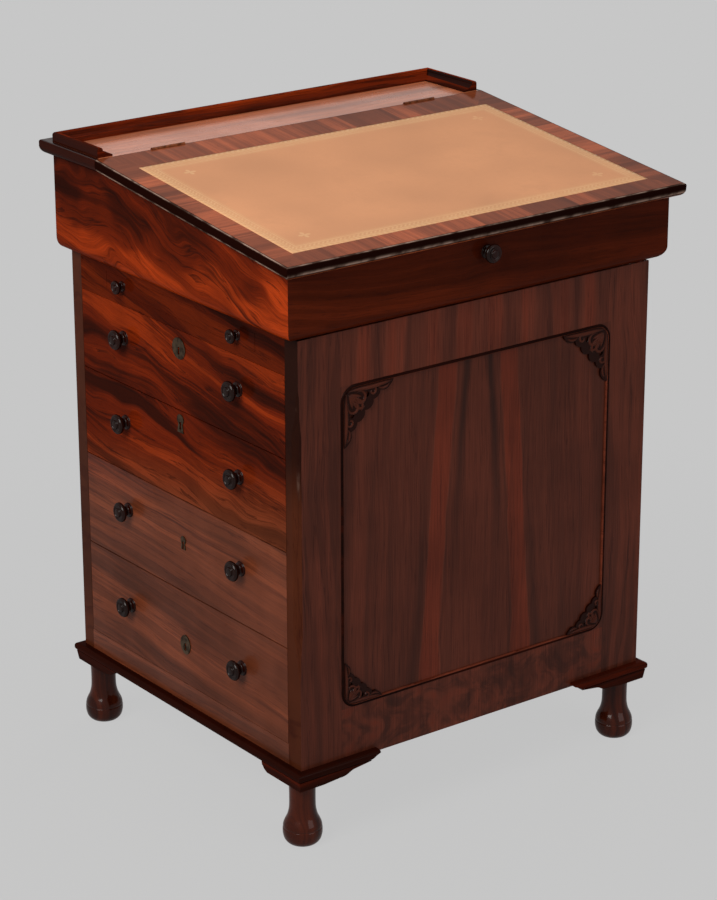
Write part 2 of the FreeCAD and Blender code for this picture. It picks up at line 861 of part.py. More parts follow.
def corner_frets():
    """Four frets, the upper pair with longer legs."""
    low = corner_fret("LowFret", s.low_fret_leg)
    high_source = corner_fret("HighFretSource", s.high_fret_leg)
    high = mirrored("HighFret", high_source, (0, 0, 1), z=(z_field_low + z_field_high) / 2)
    images = [mirrored(part.Name + "Right", part, ACROSS_X) for part in (low, high)]
    return group("Frets", [low, high] + images)


node("front_panel", front_panel())
node("panel_bead", panel_bead())
node("corner_frets", corner_frets())

# ---------------------------------------------------------------- carcase boards

stile_x = (-x_side, x_facing)


def chamfer_tool(name):
    """Wedge for the stopped chamfer, drawn out to nothing at both ends through a lamb's-tongue."""
    low = z_carcase + s.chamfer_low_margin
    high = z_pedestal - s.chamfer_high_margin
    tongue = ((0, 0.02), (0.2, 0.34), (0.55, 0.42), (1, 1.0))
    stations = [(low + s.chamfer_stop * run, share) for run, share in tongue]
    stations += [(high - s.chamfer_stop * run, share) for run, share in reversed(tongue)]
    x_past = -x_side - s.tool_margin
    y_past = y_front - s.tool_margin
    sections = []
    for height, share in stations:
        outline = [
            (x_past, y_past),
            (-x_side + s.chamfer_front * share, y_past),
            (-x_side + s.chamfer_front * share, y_front),
            (-x_side, y_front + s.chamfer_side * share),
            (x_past, y_front + s.chamfer_side * share),
        ]
        sections.append((height, outline))
    return Piece(name).loft(sections).body


def left_front_stile():
    """Corner stile with the stopped chamfer."""
    stile = block("StilePost", stile_x, (y_front, y_opening_front), (z_carcase, z_pedestal))
    return cut("FrontStile", stile, [chamfer_tool("Chamfer")])


def left_rails():
    """Rail below the drawers, and the rails and end blocks that frame the mouth of the writing slide."""
    span = (y_opening_front, y_opening_back)
    mouth = (z_slide, z_top_board)
    parts = [
        block("BottomRail", stile_x, span, (z_carcase, z_drawer_4)),
        block("TopRail", stile_x, span, (z_top_rail, z_slide)),
        block("MouthRail", stile_x, span, (z_top_board, z_pedestal)),
        block("MouthFront", stile_x, (y_opening_front, y_slide_front), mouth),
        block("MouthBack", stile_x, (y_slide_back, y_opening_back), mouth),
    ]
    return group("Rails", parts)


def right_frame():
    """Frame round the false drawer fronts: two stiles and two rails."""
    right_x = (-x_facing, x_side)
    rail_x = (x_false, x_side)
    span = (y_opening_front, y_opening_back)
    parts = [
        block("RightFrontStile", right_x, (y_front, y_opening_front), (z_carcase, z_pedestal)),
        block("RightBackStile", right_x, (y_opening_back, y_back), (z_carcase, z_pedestal)),
        block("RightBottomRail", rail_x, span, (z_carcase, z_drawer_4)),
        block("RightTopRail", rail_x, span, (z_top_rail, z_pedestal)),
    ]
    return group("RightFrame", parts)


board_levels = {
    "Board4": z_drawer_4,
    "Board3": z_drawer_3,
    "Board2": z_drawer_2,
    "Board1": z_drawer_1,
}


def dust_boards():
    """A board under each drawer, centred on the joint line that the fronts hide, and the slide's bed."""
    x = (x_facing, x_inside_right)
    y = (y_inside_front, y_inside_back)
    parts = [block(name, x, y, (level - s.dust_board / 2, level + s.dust_board / 2))
             for name, level in board_levels.items()]
    parts.append(block("SlideBed", x, y, (z_slide - s.dust_board, z_slide)))
    return group("DustBoards", parts)


def drawer_guides():
    """Strips beside each drawer and the slide, and two stops behind each drawer."""
    x = (x_facing, x_inside_right)
    sides = (("Front", (y_inside_front, y_opening_front)), ("Back", (y_opening_back, y_inside_back)))
    parts = []
    for name, level in board_levels.items():
        seat = level + s.dust_board / 2
        for side, y in sides:
            parts.append(block(f"Guide{side}{name}", x, y, (seat, seat + s.guide_height)))
        for side, sign in (("Front", -1), ("Back", 1)):
            middle = y_drawer_middle + sign * s.knob_spread
            y = (middle - s.stop_width / 2, middle + s.stop_width / 2)
            parts.append(block(f"Stop{side}{name}", (x_inside_right - s.stop_depth, x_inside_right), y,
                               (seat, seat + s.guide_height)))
    for side, y in (("Front", (y_inside_front, y_slide_front)), ("Back", (y_slide_back, y_inside_back))):
        parts.append(block(f"Guide{side}Slide", x, y, (z_slide, z_top_board)))
    return group("Guides", parts)


node("back_panel", block("BackBoard", (x_facing, -x_facing), (y_inside_back, y_back),
                         (z_carcase, z_pedestal)))
node("left_front_stile", left_front_stile())
node("left_back_stile", block("BackStile", stile_x, (y_opening_back, y_back), (z_carcase, z_pedestal)))
node("left_rails", left_rails())
node("right_frame", right_frame())
node("right_side_panel", block("SideBoard", (x_inside_right, x_false), (y_opening_front, y_opening_back),
                               (z_carcase, z_top_board)))
node("dust_boards", dust_boards())
node("drawer_guides", drawer_guides())
node("pedestal_top", block("PedestalTop", (x_facing + s.running_clearance, -x_facing),
                           (y_inside_front, y_inside_back), (z_top_board, z_pedestal)))

# ---------------------------------------------------------------- drawers and their false twins

def round_plate(y, z):
    """Round escutcheon."""
    return None, (y, z, s.round_plate_radius)


def oval_plate(y, z):
    """Upright oval escutcheon made of four arcs."""
    half_width, half_height = s.oval_plate_width / 2, s.oval_plate_height / 2
    bend = closing_radius(half_width, half_height)
    return [
        (y, z + half_height, bend), (y - half_width, z, bend),
        (y, z - half_height, bend), (y + half_width, z, bend),
    ], None


def key_shape(y, z, radius, drop, flare):
    """Keyhole outline: a round head over a skirt that widens downwards."""
    waist = radius * 0.6
    return [
        (y - radius * flare, z - drop), (y + radius * flare, z - drop),
        (y + waist, z - radius * 0.8), (y + radius, z, radius), (y, z + radius, radius),
        (y - radius, z, radius), (y - waist, z - radius * 0.8, radius),
    ]


def tall_plate(y, z):
    """Tall thread escutcheon shaped like its keyhole."""
    lift = s.tall_plate_skirt * PLATE_LIFT
    return key_shape(y, z + lift, s.tall_plate_head, s.tall_plate_skirt, PLATE_FLARE), None


def small_plate(y, z):
    """Short thread escutcheon shaped like its keyhole."""
    lift = s.small_plate_skirt * PLATE_LIFT
    return key_shape(y, z + lift, s.small_plate_head, s.small_plate_skirt, PLATE_FLARE), None


DRAWERS = {
    # drawer: (low line, high line, knob height, keyhole height, escutcheon form)
    "1": (z_drawer_1, z_top_rail, 0.592, 0.772, round_plate),
    "2": (z_drawer_2, z_drawer_1, 0.575, 0.861, tall_plate),
    "3": (z_drawer_3, z_drawer_2, 0.585, 0.538, small_plate),
    "4": (z_drawer_4, z_drawer_3, 0.53, 0.432, oval_plate),
}


def escutcheon(name, x, y, z, form):
    """A thin plate on the face, pierced by the keyhole."""
    outline, circle = form(y, z)
    plate = Piece(name)
    if circle is None:
        plate.pad("YZ", outline, *x)
    else:
        plate.pad("YZ", None, *x, [circle])
    return plate.pocket("YZ", key_shape(y, z, s.key_radius, s.key_drop, 1.0), *x).body


def side_board(name, x_front, x_back, y, z):
    """Drawer side with tails at both ends: short of the face in front, right through at the back."""
    z_low, z_high = z
    pitch = (z_high - z_low) / TAILS
    shoulder_front = x_front
    tip_front = x_front - (s.facing - s.drawer_lap)
    shoulder_back = x_back - s.drawer_lining
    back_end = []
    front_end = []
    for number in range(TAILS):
        middle = z_low + pitch * (number + 0.5)
        back_end += [(shoulder_back, middle - pitch * 0.24), (x_back, middle - pitch * 0.34),
                     (x_back, middle + pitch * 0.34), (shoulder_back, middle + pitch * 0.24)]
        front_end += [(shoulder_front, middle - pitch * 0.24), (tip_front, middle - pitch * 0.34),
                      (tip_front, middle + pitch * 0.34), (shoulder_front, middle + pitch * 0.24)]
    outline = [(shoulder_front, z_low), (shoulder_back, z_low)] + back_end
    outline += [(shoulder_back, z_high), (shoulder_front, z_high)] + front_end[::-1]
    return Piece(name).pad("XZ", outline, *y).body


def drawer(number, z_low, z_high, knob_share, key_share, form):
    """One drawer: front, dovetailed lining, slotted bottom, two knobs, and a lock with its escutcheon."""
    tag = "Drawer" + number
    y = (y_opening_front + s.drawer_gap, y_opening_back - s.drawer_gap)
    z_face = (z_low + s.drawer_gap, z_high - s.drawer_gap)
    z_lining = (z_low + s.dust_board / 2 + s.running_clearance,
                z_high - s.dust_board / 2 - s.drawer_headroom)
    x_end = x_inside_right - s.drawer_end_gap
    z_bottom = (z_lining[0] + s.bottom_lift, z_lining[0] + s.bottom_lift + s.drawer_bottom)
    y_inner = (y[0] + s.drawer_lining, y[1] - s.drawer_lining)

    bottom = block(tag + "Bottom", (x_facing - s.bottom_groove, x_end),
                   (y_inner[0] - s.bottom_groove, y_inner[1] + s.bottom_groove), z_bottom)
    near_side = side_board(tag + "NearSide", x_facing, x_end, (y[0], y_inner[0]), z_lining)
    far_side = side_board(tag + "FarSide", x_facing, x_end, (y_inner[1], y[1]), z_lining)
    sides = [cut(side.Name + "Grooved", side, [bottom]) for side in (near_side, far_side)]
    back = block(tag + "BackBoard", (x_end - s.drawer_lining, x_end), y, (z_bottom[1], z_lining[1]))
    back_cut = cut(tag + "Back", back, sides)

    y_knobs = [y_drawer_middle + sign * s.knob_spread for sign in (-1, 1)]
    z_knob = z_low + (z_high - z_low) * knob_share
    z_key = z_low + (z_high - z_low) * key_share
    spigot = (s.spigot_radius, s.spigot_length)
    knobs = [pull_knob(f"{tag}Knob{n}", "-X", (-x_side, y_knob, z_knob), s.knob_radius, s.knob_reach, spigot)
             for n, y_knob in enumerate(y_knobs)]
    holes = [cylinder(f"{tag}KnobHole{n}", "X", s.spigot_radius + s.spigot_clearance,
                      s.spigot_length + s.spigot_clearance, (-x_side, y_knob, z_knob))
             for n, y_knob in enumerate(y_knobs)]
    lock_y = (y_drawer_middle - s.lock_width / 2, y_drawer_middle + s.lock_width / 2)
    lock = block(tag + "LockCase", (x_facing - s.lock_depth, x_facing), lock_y,
                 (z_key - s.lock_height * 0.6, z_key + s.lock_height * 0.4))
    keyway = Piece(tag + "Keyway")
    keyway.pad("YZ", key_shape(y_drawer_middle, z_key, s.key_radius, s.key_drop, 1.0),
               -x_side, x_facing - s.lock_depth)
    plate = escutcheon(tag + "Plate", (-x_side - s.escutcheon_thickness, -x_side),
                       y_drawer_middle, z_key, form)
    face = block(tag + "FaceBoard", (-x_side, x_facing), y, z_face)
    front = cut(tag + "Front", face, sides + [bottom, lock, keyway.body] + holes)

    node(f"drawer_{number}_front", front)
    node(f"drawer_{number}_sides", group(tag + "Sides", sides + [back_cut]))
    node(f"drawer_{number}_bottom", bottom)
    node(f"drawer_{number}_knobs", group(tag + "Knobs", knobs))
    node(f"drawer_{number}_lock", group(tag + "Lock", [lock, plate]))


def false_drawers():
    """Fronts, knobs and escutcheons of the closed side, in line with the working drawers."""
    fronts, knobs, plates = [], [], []
    y = (y_opening_front + s.drawer_gap, y_opening_back - s.drawer_gap)
    for number, (z_low, z_high, knob_share, key_share, form) in DRAWERS.items():
        tag = "False" + number
        face = block(tag + "Face", (x_false, x_side), y, (z_low + s.drawer_gap, z_high - s.drawer_gap))
        z_knob = z_low + (z_high - z_low) * knob_share
        z_key = z_low + (z_high - z_low) * key_share
        holes = []
        for n, sign in enumerate((-1, 1)):
            place = (x_side, y_drawer_middle + sign * s.knob_spread, z_knob)
            knobs.append(pull_knob(f"{tag}Knob{n}", "+X", place, s.knob_radius, s.knob_reach,
                                   (s.spigot_radius, s.spigot_length / 2)))
            hole_depth = s.spigot_length / 2 + s.spigot_clearance
            holes.append(cylinder(f"{tag}Hole{n}", "X", s.spigot_radius + s.spigot_clearance, hole_depth,
                                  (x_side - hole_depth, place[1], z_knob)))
        fronts.append(cut(tag + "Front", face, holes))
        plates.append(escutcheon(tag + "Plate", (x_side, x_side + s.escutcheon_thickness),
                                 y_drawer_middle, z_key, form))
    node("false_fronts", group("FalseFronts", fronts))
    node("false_knobs", group("FalseKnobs", knobs))
    node("false_escutcheons", group("FalsePlates", plates))


for drawer_number, drawer_sizes in DRAWERS.items():
    drawer(drawer_number, *drawer_sizes)
false_drawers()

# ---------------------------------------------------------------- writing slide

def writing_slide():
    """Slide board with a lipped front and two small knobs."""
    y = (y_slide_front + s.drawer_gap, y_slide_back - s.drawer_gap)
    z_low = z_slide + s.running_clearance
    board = block("SlideBoard", (x_facing, x_facing + s.slide_length), y, (z_low, z_low + s.slide_board))
    lip = block("SlideLip", (-x_side, x_facing), y, (z_low, z_top_board - s.running_clearance))
    z_knob = (z_slide + z_top_board) / 2
    knobs = []
    holes = []
    for n, sign in enumerate((-1, 1)):
        place = (-x_side, y_drawer_middle + sign * s.knob_spread, z_knob)
        knobs.append(pull_knob(f"SlideKnob{n}", "-X", place, s.slide_knob_radius, s.slide_knob_reach,
                               (s.spigot_radius, s.spigot_length)))
        holes.append(cylinder(f"SlideHole{n}", "X", s.spigot_radius + s.spigot_clearance,
                              s.spigot_length + s.spigot_clearance, place))
    node("slide_board", board)
    node("slide_front", cut("SlideFront", lip, holes))
    node("slide_knobs", group("SlideKnobs", knobs))


writing_slide()

# ---------------------------------------------------------------- desk box

def box_envelope():
    """Outer form of the desk box: sloping top, flat under the shelf, rounded under-edge on three sides."""
    gap = s.running_clearance
    outline = [
        (y_box_front, z_box), (y_box_back, z_box), (y_box_back, z_shelf_low), (y_hinge, z_shelf_low),
        (y_hinge, lid_underside(y_hinge) - gap), (y_box_front, lid_underside(y_box_front) - gap),
    ]
    form = Piece("BoxForm").pad("YZ", outline, -x_box, x_box)

    def under_edge(edge):
        box = edge.BoundBox
        low = near(box.ZMax, z_box)
        return low and not near(box.YMin, y_box_back)

    return form.fillet(s.box_round, under_edge).body


def box_walls():
    """Front, two sides and back, all cut from the same outer form."""
    form = box_envelope()
    z = (z_box, z_shelf)
    front = block("BoxFrontBlock", (-x_box, x_box), (y_box_front, y_box_inside_front), z)
    left = block("BoxLeftBlock", (-x_box, -x_box_inside), (y_box_inside_front, y_box_inside_back), z)
    right = block("BoxRightBlock", (x_box_inside, x_box), (y_box_inside_front, y_box_inside_back), z)
    back = block("BoxBackBlock", (-x_box, x_box), (y_box_inside_back, y_box_back), z)
    knob_hole = cylinder("BoxKnobHole", "Y", s.spigot_radius + s.spigot_clearance,
                         s.spigot_length + s.spigot_clearance, (0, y_box_front, z_box_knob))
    node("box_front", cut("BoxFront", common("BoxFrontBoard", form, front), [knob_hole]))
    node("box_left_side", common("BoxLeft", form, left))
    node("box_right_side", common("BoxRight", form, right))
    node("box_back", common("BoxBack", form, back))


def moulded_edge(piece, x, y_end, z_low, z_high):
    """Rounds the outer edges of the lid or the shelf: top and bottom, on both sides and one end."""
    thickness = s.lid_thickness.value

    def outer(edge, level):
        box = edge.BoundBox
        at_side = near(box.XMin, -x) or near(box.XMax, x)
        on_side = box.XLength < STRAIGHT and at_side and box.YLength > thickness
        on_end = box.XLength > thickness and abs(box.YMin - y_end.value) < thickness / 2
        return (on_side or on_end) and level(box)

    piece.fillet(s.edge_round_top, lambda edge: outer(edge, z_high))
    piece.fillet(s.edge_round_low, lambda edge: outer(edge, z_low))


def top_shelf():
    """Fixed shelf behind the lid, with a rounded edge on its sides and back."""
    shelf = Piece("Shelf")
    y = (y_hinge + s.joint_gap, y_shelf_back)
    shelf.pad("XY", rectangle((-x_lid, x_lid), y), z_shelf_low, z_shelf)
    moulded_edge(shelf, x_lid, y_shelf_back,
                 lambda box: near(box.ZMin, z_shelf_low) and box.ZLength < STRAIGHT,
                 lambda box: near(box.ZMax, z_shelf) and box.ZLength < STRAIGHT)
    return shelf.body


def gallery_rail():
    """Low rail round three sides of the shelf: upright outside, hollow inside, with a rounded crest."""
    x_out = x_lid - s.gallery_side_inset
    y_out = y_shelf_back - s.gallery_back_inset
    y_end = y_hinge + s.gallery_front_inset
    crest = s.gallery_top / 2
    z_quirk = z_shelf + s.gallery_quirk
    z_crest = z_shelf + s.gallery_height - crest
    hollow = closing_radius(z_crest - z_quirk, s.gallery_base - s.gallery_top)
    profile = [
        (-x_out, z_shelf), (s.gallery_base - x_out, z_shelf), (s.gallery_base - x_out, z_quirk),
        (s.gallery_top - x_out, z_crest, -hollow),
        (crest - x_out, z_crest + crest, crest), (-x_out, z_crest, crest),
    ]
    rail = Piece("Gallery")
    section = rail.sketch("XZ", y_end, profile)
    path = rail.sketch("XY", z_shelf, None)
    draw_path(path, [(-x_out, y_end), (-x_out, y_out), (x_out, y_out), (x_out, y_end)])
    return rail.sweep(section, path).body


def hinge(name, x, side):
    """One leaf of a butt hinge with its knuckles; side is 1 for the shelf and -1 for the lid."""
    bore = s.pin_radius + s.pin_clearance
    third = s.hinge_length / 3
    gap = s.joint_gap / 2
    spans = [(0, 1), (2, 3)] if side > 0 else [(1, 2)]
    leaf_face = y_hinge + side * s.joint_gap
    leaf_back = y_hinge + side * (s.joint_gap + s.hinge_leaf)
    leaf_y = (leaf_face, leaf_back) if side > 0 else (leaf_back, leaf_face)
    leaf_top = z_shelf - s.knuckle_radius - s.joint_gap
    start = x - s.hinge_length / 2
    solids = [block(name + "Leaf", (start, start + s.hinge_length), leaf_y,
                    (leaf_top - s.hinge_leaf_height, leaf_top))]
    bores = []
    for n, (first, last) in enumerate(spans):
        low = start + third * first + gap
        high = start + third * last - gap
        solids.append(block(f"{name}Neck{n}", (low, high), leaf_y, (leaf_top - s.hinge_leaf, z_shelf)))
        solids.append(cylinder(f"{name}Knuckle{n}", "X", s.knuckle_radius, high - low,
                               (low, y_hinge, z_shelf)))
        bores.append(cylinder(f"{name}Bore{n}", "X", bore, high - low, (low, y_hinge, z_shelf)))
    return cut(name, joined(name + "Solid", solids), bores)


def hinge_seat(name, x):
    """Space that a hinge takes out of the lid and the shelf."""
    half = s.hinge_length / 2
    leaf_top = z_shelf - s.knuckle_radius - s.joint_gap
    reach = s.joint_gap + s.hinge_leaf
    leaf = block(name + "Leaves", (x - half, x + half), (y_hinge - reach, y_hinge + reach),
                 (leaf_top - s.hinge_leaf_height, z_shelf))
    barrel = cylinder(name + "Barrel", "X", s.knuckle_radius + s.joint_gap, s.hinge_length,
                      (x - half, y_hinge, z_shelf))
    return joined(name, [leaf, barrel])


def lid_board():
    """Sloping lid: a rounded edge on its sides and front, and a bed for the leather."""
    y_top = y_hinge - s.joint_gap
    lean = s.lid_thickness / lid_stretch
    front_low = (y_lid_front + lean * lid_slope, z_lid_front - lean)
    outline = [
        (y_lid_front, z_lid_front), front_low,
        (y_top, lid_underside(y_top)), (y_top, lid_top(y_top)),
    ]
    lid = Piece("Lid").pad("YZ", outline, -x_lid, x_lid)
    half = s.lid_thickness.value / 2
    middle = (z_lid_front + z_shelf).value / 2 - half

    def is_low(box):
        if box.XLength > half:
            return box.ZMin < z_lid_front.value - half
        return (box.ZMin + box.ZMax) / 2 < middle

    moulded_edge(lid, x_lid, y_lid_front, is_low, lambda box: not is_low(box))
    bed = leather_section()
    x = x_lid - s.leather_side_margin
    lid.pocket("YZ", bed, -x, x)
    return lid.body


def leather_section():
    """Section of the leather, flush with the lid's upper face."""
    y_low = y_lid_front + s.leather_front_margin / lid_stretch
    y_high = y_hinge - s.leather_back_margin / lid_stretch
    down = s.leather_thickness * lid_stretch
    return [
        (y_low, lid_top(y_low)), (y_low, lid_top(y_low) - down),
        (y_high, lid_top(y_high) - down), (y_high, lid_top(y_high)),
    ]


def lid_and_shelf():
    """Lid, shelf and the hinges between them."""
    seats = [hinge_seat("HingeSeatLeft", -s.hinge_place), hinge_seat("HingeSeatRight", s.hinge_place)]
    shelf_leaves = []
    lid_leaves = []
    pins = []
    for name, x in (("Left", -s.hinge_place), ("Right", s.hinge_place)):
        shelf_leaves.append(hinge(f"ShelfHinge{name}", x, 1))
        lid_leaves.append(hinge(f"LidHinge{name}", x, -1))
        pins.append(cylinder(f"Pin{name}", "X", s.pin_radius, s.hinge_length,
                             (x - s.hinge_length / 2, y_hinge, z_shelf)))
    x = x_lid - s.leather_side_margin
    node("top_shelf", cut("ShelfBoard", top_shelf(), seats))
    node("gallery_rail", gallery_rail())
    node("lid_board", cut("LidBoard", lid_board(), seats))
    node("writing_leather", Piece("Leather").pad("YZ", leather_section(), -x, x))
    node("hinge_leaves_shelf", group("ShelfLeaves", shelf_leaves))
    node("hinge_leaves_lid", group("LidLeaves", lid_leaves))
    node("hinge_pins", group("HingePins", pins))


def box_inside():
    """Bottom board, runners, pull knob and the fitted bank."""
    inside_x = (-x_box_inside, x_box_inside)
    inside_y = (y_box_inside_front, y_box_inside_back)
    node("box_bottom", block("BoxBottom", inside_x, inside_y, (z_box_bottom, z_box_floor)))
    runners = []
    for name, side in (("Left", -1), ("Right", 1)):
        middle = side * s.runner_place
        runners.append(block("Runner" + name, (middle - s.runner_width / 2, middle + s.runner_width / 2),
                             inside_y, (z_runner, z_box_bottom)))
    node("box_runners", group("Runners", runners))
    place = (0, y_box_front, z_box_knob)
    node("box_knob", pull_knob("BoxKnob", "-Y", place, s.box_knob_radius, s.box_knob_reach,
                               (s.spigot_radius, s.spigot_length)))


bank_y = (y_hinge + s.bank_setback, y_box_inside_back)
z_bank_shelf = z_box_floor + s.inner_drawer_height


def inner_bank():
    """Thin boards that make two drawer spaces below and a row of pigeonholes above."""
    half = s.bank_board / 2
    x_end = x_box_inside - s.bank_board
    parts = [
        block("BankLeft", (-x_box_inside, -x_end), bank_y, (z_box_floor, z_shelf_low)),
        block("BankRight", (x_end, x_box_inside), bank_y, (z_box_floor, z_shelf_low)),
        block("BankMiddle", (-half, half), bank_y, (z_box_floor, z_bank_shelf)),
        block("BankShelf", (-x_end, x_end), bank_y, (z_bank_shelf, z_bank_shelf + s.bank_board)),
    ]
    for number in range(1, PIGEONHOLES):
        middle = -x_end + 2 * x_end * (number / PIGEONHOLES)
        parts.append(block(f"BankPartition{number}", (middle - half, middle + half), bank_y,
                           (z_bank_shelf + s.bank_board, z_shelf_low)))
    return group("Bank", parts)


def inner_drawer(name, x_low, x_high):
    """A small tray drawer: front, U-shaped lining, floor and knob."""
    clear = s.running_clearance
    x = (x_low + clear, x_high - clear)
    y = (bank_y[0], y_box_inside_back - s.inner_wall)
    z = (z_box_floor + clear, z_bank_shelf - 2 * clear)
    wall = s.inner_wall
    front = block(name + "Front", x, (y[0], y[0] + wall), z)
    tray = Piece(name + "Tray")
    tray.pad("XY", rectangle(x, (y[0] + wall, y[1])), *z)
    tray.pocket("XY", rectangle((x[0] + wall, x[1] - wall), (y[0] + wall, y[1] - wall)), *z)
    floor = block(name + "Floor", (x[0] + wall, x[1] - wall), (y[0] + wall, y[1] - wall),
                  (z[0], z[0] + s.inner_floor))
    place = ((x[0] + x[1]) / 2, y[0], (z[0] + z[1]) / 2)
    knob = pull_knob(name + "Knob", "-Y", place, s.inner_knob_radius, s.inner_knob_reach)
    return group(name, [front, tray.body, floor, knob])


box_walls()
lid_and_shelf()
box_inside()
bank_inside = x_box_inside - s.bank_board
bank_half = s.bank_board / 2
node("inner_bank", inner_bank())
node("inner_drawer_left", inner_drawer("InnerLeft", -bank_inside, -bank_half))
node("inner_drawer_right", inner_drawer("InnerRight", bank_half, bank_inside))

# ---------------------------------------------------------------- checks and files

doc.recompute()
for item in doc.Objects:
    if "Invalid" in item.State or "Error" in item.State:
        raise RuntimeError(f"{item.Name} failed: {item.State}")
for part in NODES:
    if part.Shape.isNull() or not part.Shape.isValid():
        raise RuntimeError(f"{part.Label} has no valid shape")
os.makedirs("parts", exist_ok=True)
for part in NODES:
    part.Shape.exportStep(f"parts/{part.Label}.step")
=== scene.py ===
"""Finish and turned detail for a davenport desk, laid out as a Blender add-on and run as a script."""

import math
from types import SimpleNamespace

import bpy
import numpy as np
from bpy.props import FloatProperty, FloatVectorProperty, IntProperty, PointerProperty
from mathutils import Matrix, Vector


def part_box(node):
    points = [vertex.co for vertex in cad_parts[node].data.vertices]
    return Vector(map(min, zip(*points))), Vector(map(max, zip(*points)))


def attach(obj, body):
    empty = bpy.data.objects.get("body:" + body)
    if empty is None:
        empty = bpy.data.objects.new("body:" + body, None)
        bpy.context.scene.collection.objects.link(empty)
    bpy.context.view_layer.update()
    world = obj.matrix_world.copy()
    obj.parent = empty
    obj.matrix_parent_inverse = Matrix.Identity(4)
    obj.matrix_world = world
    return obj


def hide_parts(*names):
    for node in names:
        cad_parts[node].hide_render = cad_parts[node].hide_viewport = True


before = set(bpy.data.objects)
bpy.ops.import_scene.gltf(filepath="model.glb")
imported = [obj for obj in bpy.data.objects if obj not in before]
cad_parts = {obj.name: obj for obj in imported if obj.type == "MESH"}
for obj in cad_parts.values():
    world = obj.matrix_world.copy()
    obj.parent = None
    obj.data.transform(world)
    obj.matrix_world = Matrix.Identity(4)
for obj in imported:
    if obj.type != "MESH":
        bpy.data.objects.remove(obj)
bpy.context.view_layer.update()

bl_info = {
    "name": "Davenport desk finish",
    "version": (1, 0, 0),
    "blender": (4, 5, 0),
    "location": "View3D > Sidebar > Davenport",
    "description": "Veneers, turned work, carving and leather for a davenport desk",
    "category": "Object",
}


def corners(node):
    """Lowest and highest corner of a CAD node, as plain numbers."""
    return [tuple(map(float, corner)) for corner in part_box(node)]


MM = 0.001
DRAWERS = [f"drawer_{number}" for number in "1234"]
LID_LOW, LID_HIGH = corners("lid_board")
LEATHER_LOW, LEATHER_HIGH = corners("writing_leather")
FIELD_LOW, FIELD_HIGH = corners("panel_bead")
CARVING_DEPTH = 2.2 * MM
CARVING_BASE = corners("corner_frets")[0][1] + 0.4 * MM

# the camera, in metres, and the lens with its sensor, in millimetres
CAMERA_PLACE = (-2.2280, -2.9467, 1.7451)
CAMERA_FORWARD = (0.5658, 0.7500, -0.3425)
CAMERA_ROLL = math.radians(-0.1)
SENSOR_WIDTH = 36.0

# the lamps: place in metres, side in metres, setting that holds the power, tint
AIM = (0.0, 0.0, 0.45)
LAMPS = {
    "key_lamp": ((-2.6, -0.9, 2.3), 1.8, "key_power", (1.0, 0.97, 0.93)),
    "fill_lamp": ((0.8, -3.2, 1.6), 2.0, "fill_power", (1.0, 1.0, 1.0)),
    "top_lamp": ((0.2, 0.2, 3.2), 2.2, "top_power", (1.0, 1.0, 1.0)),
    "back_lamp": ((2.7, 1.5, 0.5), 1.0, "back_power", (1.0, 1.0, 1.0)),
}
AMBIENT = 0.16
FLOOR_RINGS = (0.0, 0.5, 1.2, 3.0, 12.0)
SHADOW_REACH = 1.5

# the tooling: distance from the leather's edge and half width in metres, then strength
TOOLED_LINES = ((0.0072, 0.0009, 1.0), (0.0165, 0.0011, 1.0), (0.0195, 0.0006, 0.6))
# the same with the pitch of the strokes in second place and their slant in fourth
TOOLED_CHAINS = ((0.0035, 0.0082, 0.0024, 0.6, 1.0), (0.0118, 0.0064, 0.0028, -0.9, 0.75))
FLOWER_PLACE = (0.048, 0.042)
PETAL_REACH = 0.0085


def srgb(red, green, blue):
    """Linear colour of an 8-bit screen colour."""
    shares = [channel / 255 for channel in (red, green, blue)]
    return tuple(share / 12.92 if share <= 0.04045 else ((share + 0.055) / 1.055) ** 2.4 for share in shares)


def colour_property(name, description, default):
    """A colour that a user may change."""
    return FloatVectorProperty(name=name, description=description, subtype="COLOR", size=3, min=0, max=1,
                               default=default)


def power_property(name, description, default):
    """The power of a lamp, in watts."""
    return FloatProperty(name=name, description=description, default=default, min=0.0, unit="POWER")


class DavenportColours(bpy.types.PropertyGroup):
    """Colours of the finishes."""

    vein: colour_property("Vein", "Near-black veins of the rosewood", srgb(26, 8, 5))
    shade: colour_property("Shade", "Dark ground of the rosewood", srgb(50, 14, 5))
    body: colour_property("Body", "Middle tone of the rosewood", srgb(104, 31, 8))
    flame: colour_property("Flame", "Lightest streaks of the rosewood", srgb(144, 49, 14))
    # paler brown; on the lower drawer fronts it stands for a painted sheen of the pale floor's reflection,
    # elsewhere it is a paler wood tone
    pale_brown: colour_property("Faded", "Faded brown of the lower drawers", srgb(110, 54, 31))
    panel_red: colour_property("Panel red", "Red strips of the panel veneer", srgb(114, 54, 37))
    panel_brown: colour_property("Panel brown", "Brown strips of the panel veneer", srgb(46, 24, 17))
    # pale colour of the lid's arris line, partly wear and partly a painted highlight, and of the painted
    # glints on the stile's corner
    worn_and_glint: colour_property("Worn arris", "Pale line where the lid's edge is rubbed", srgb(176, 146, 130))
    lining: colour_property("Lining", "Drawer lining wood", srgb(150, 98, 58))
    knob: colour_property("Knob", "Dark turned knobs", srgb(20, 8, 5))
    leather: colour_property("Leather", "Writing leather", srgb(206, 144, 102))
    tooling: colour_property("Tooling", "Tooled border of the leather", srgb(222, 182, 128))
    brass: colour_property("Brass", "Aged brass", srgb(78, 58, 36))
    ground: colour_property("Ground", "Floor and background", srgb(199, 199, 199))


class DavenportSizes(bpy.types.PropertyGroup):
    """Settings of the turned pieces, the lamps and the camera."""

    turning_steps: IntProperty(name="Turning steps", description="Facets round each turned piece",
                               default=72, min=16, max=128)
    key_power: power_property("Key light", "Power of the large lamp on the left", 95.0)
    fill_power: power_property("Fill light", "Power of the lamp in front", 26.0)
    top_power: power_property("Top light", "Power of the lamp overhead", 24.0)
    back_power: power_property("Back light", "Power of the low lamp behind on the right", 45.0)
    focal_length: FloatProperty(name="Focal length", description="Camera focal length in millimetres",
                                default=120.54, min=20.0)


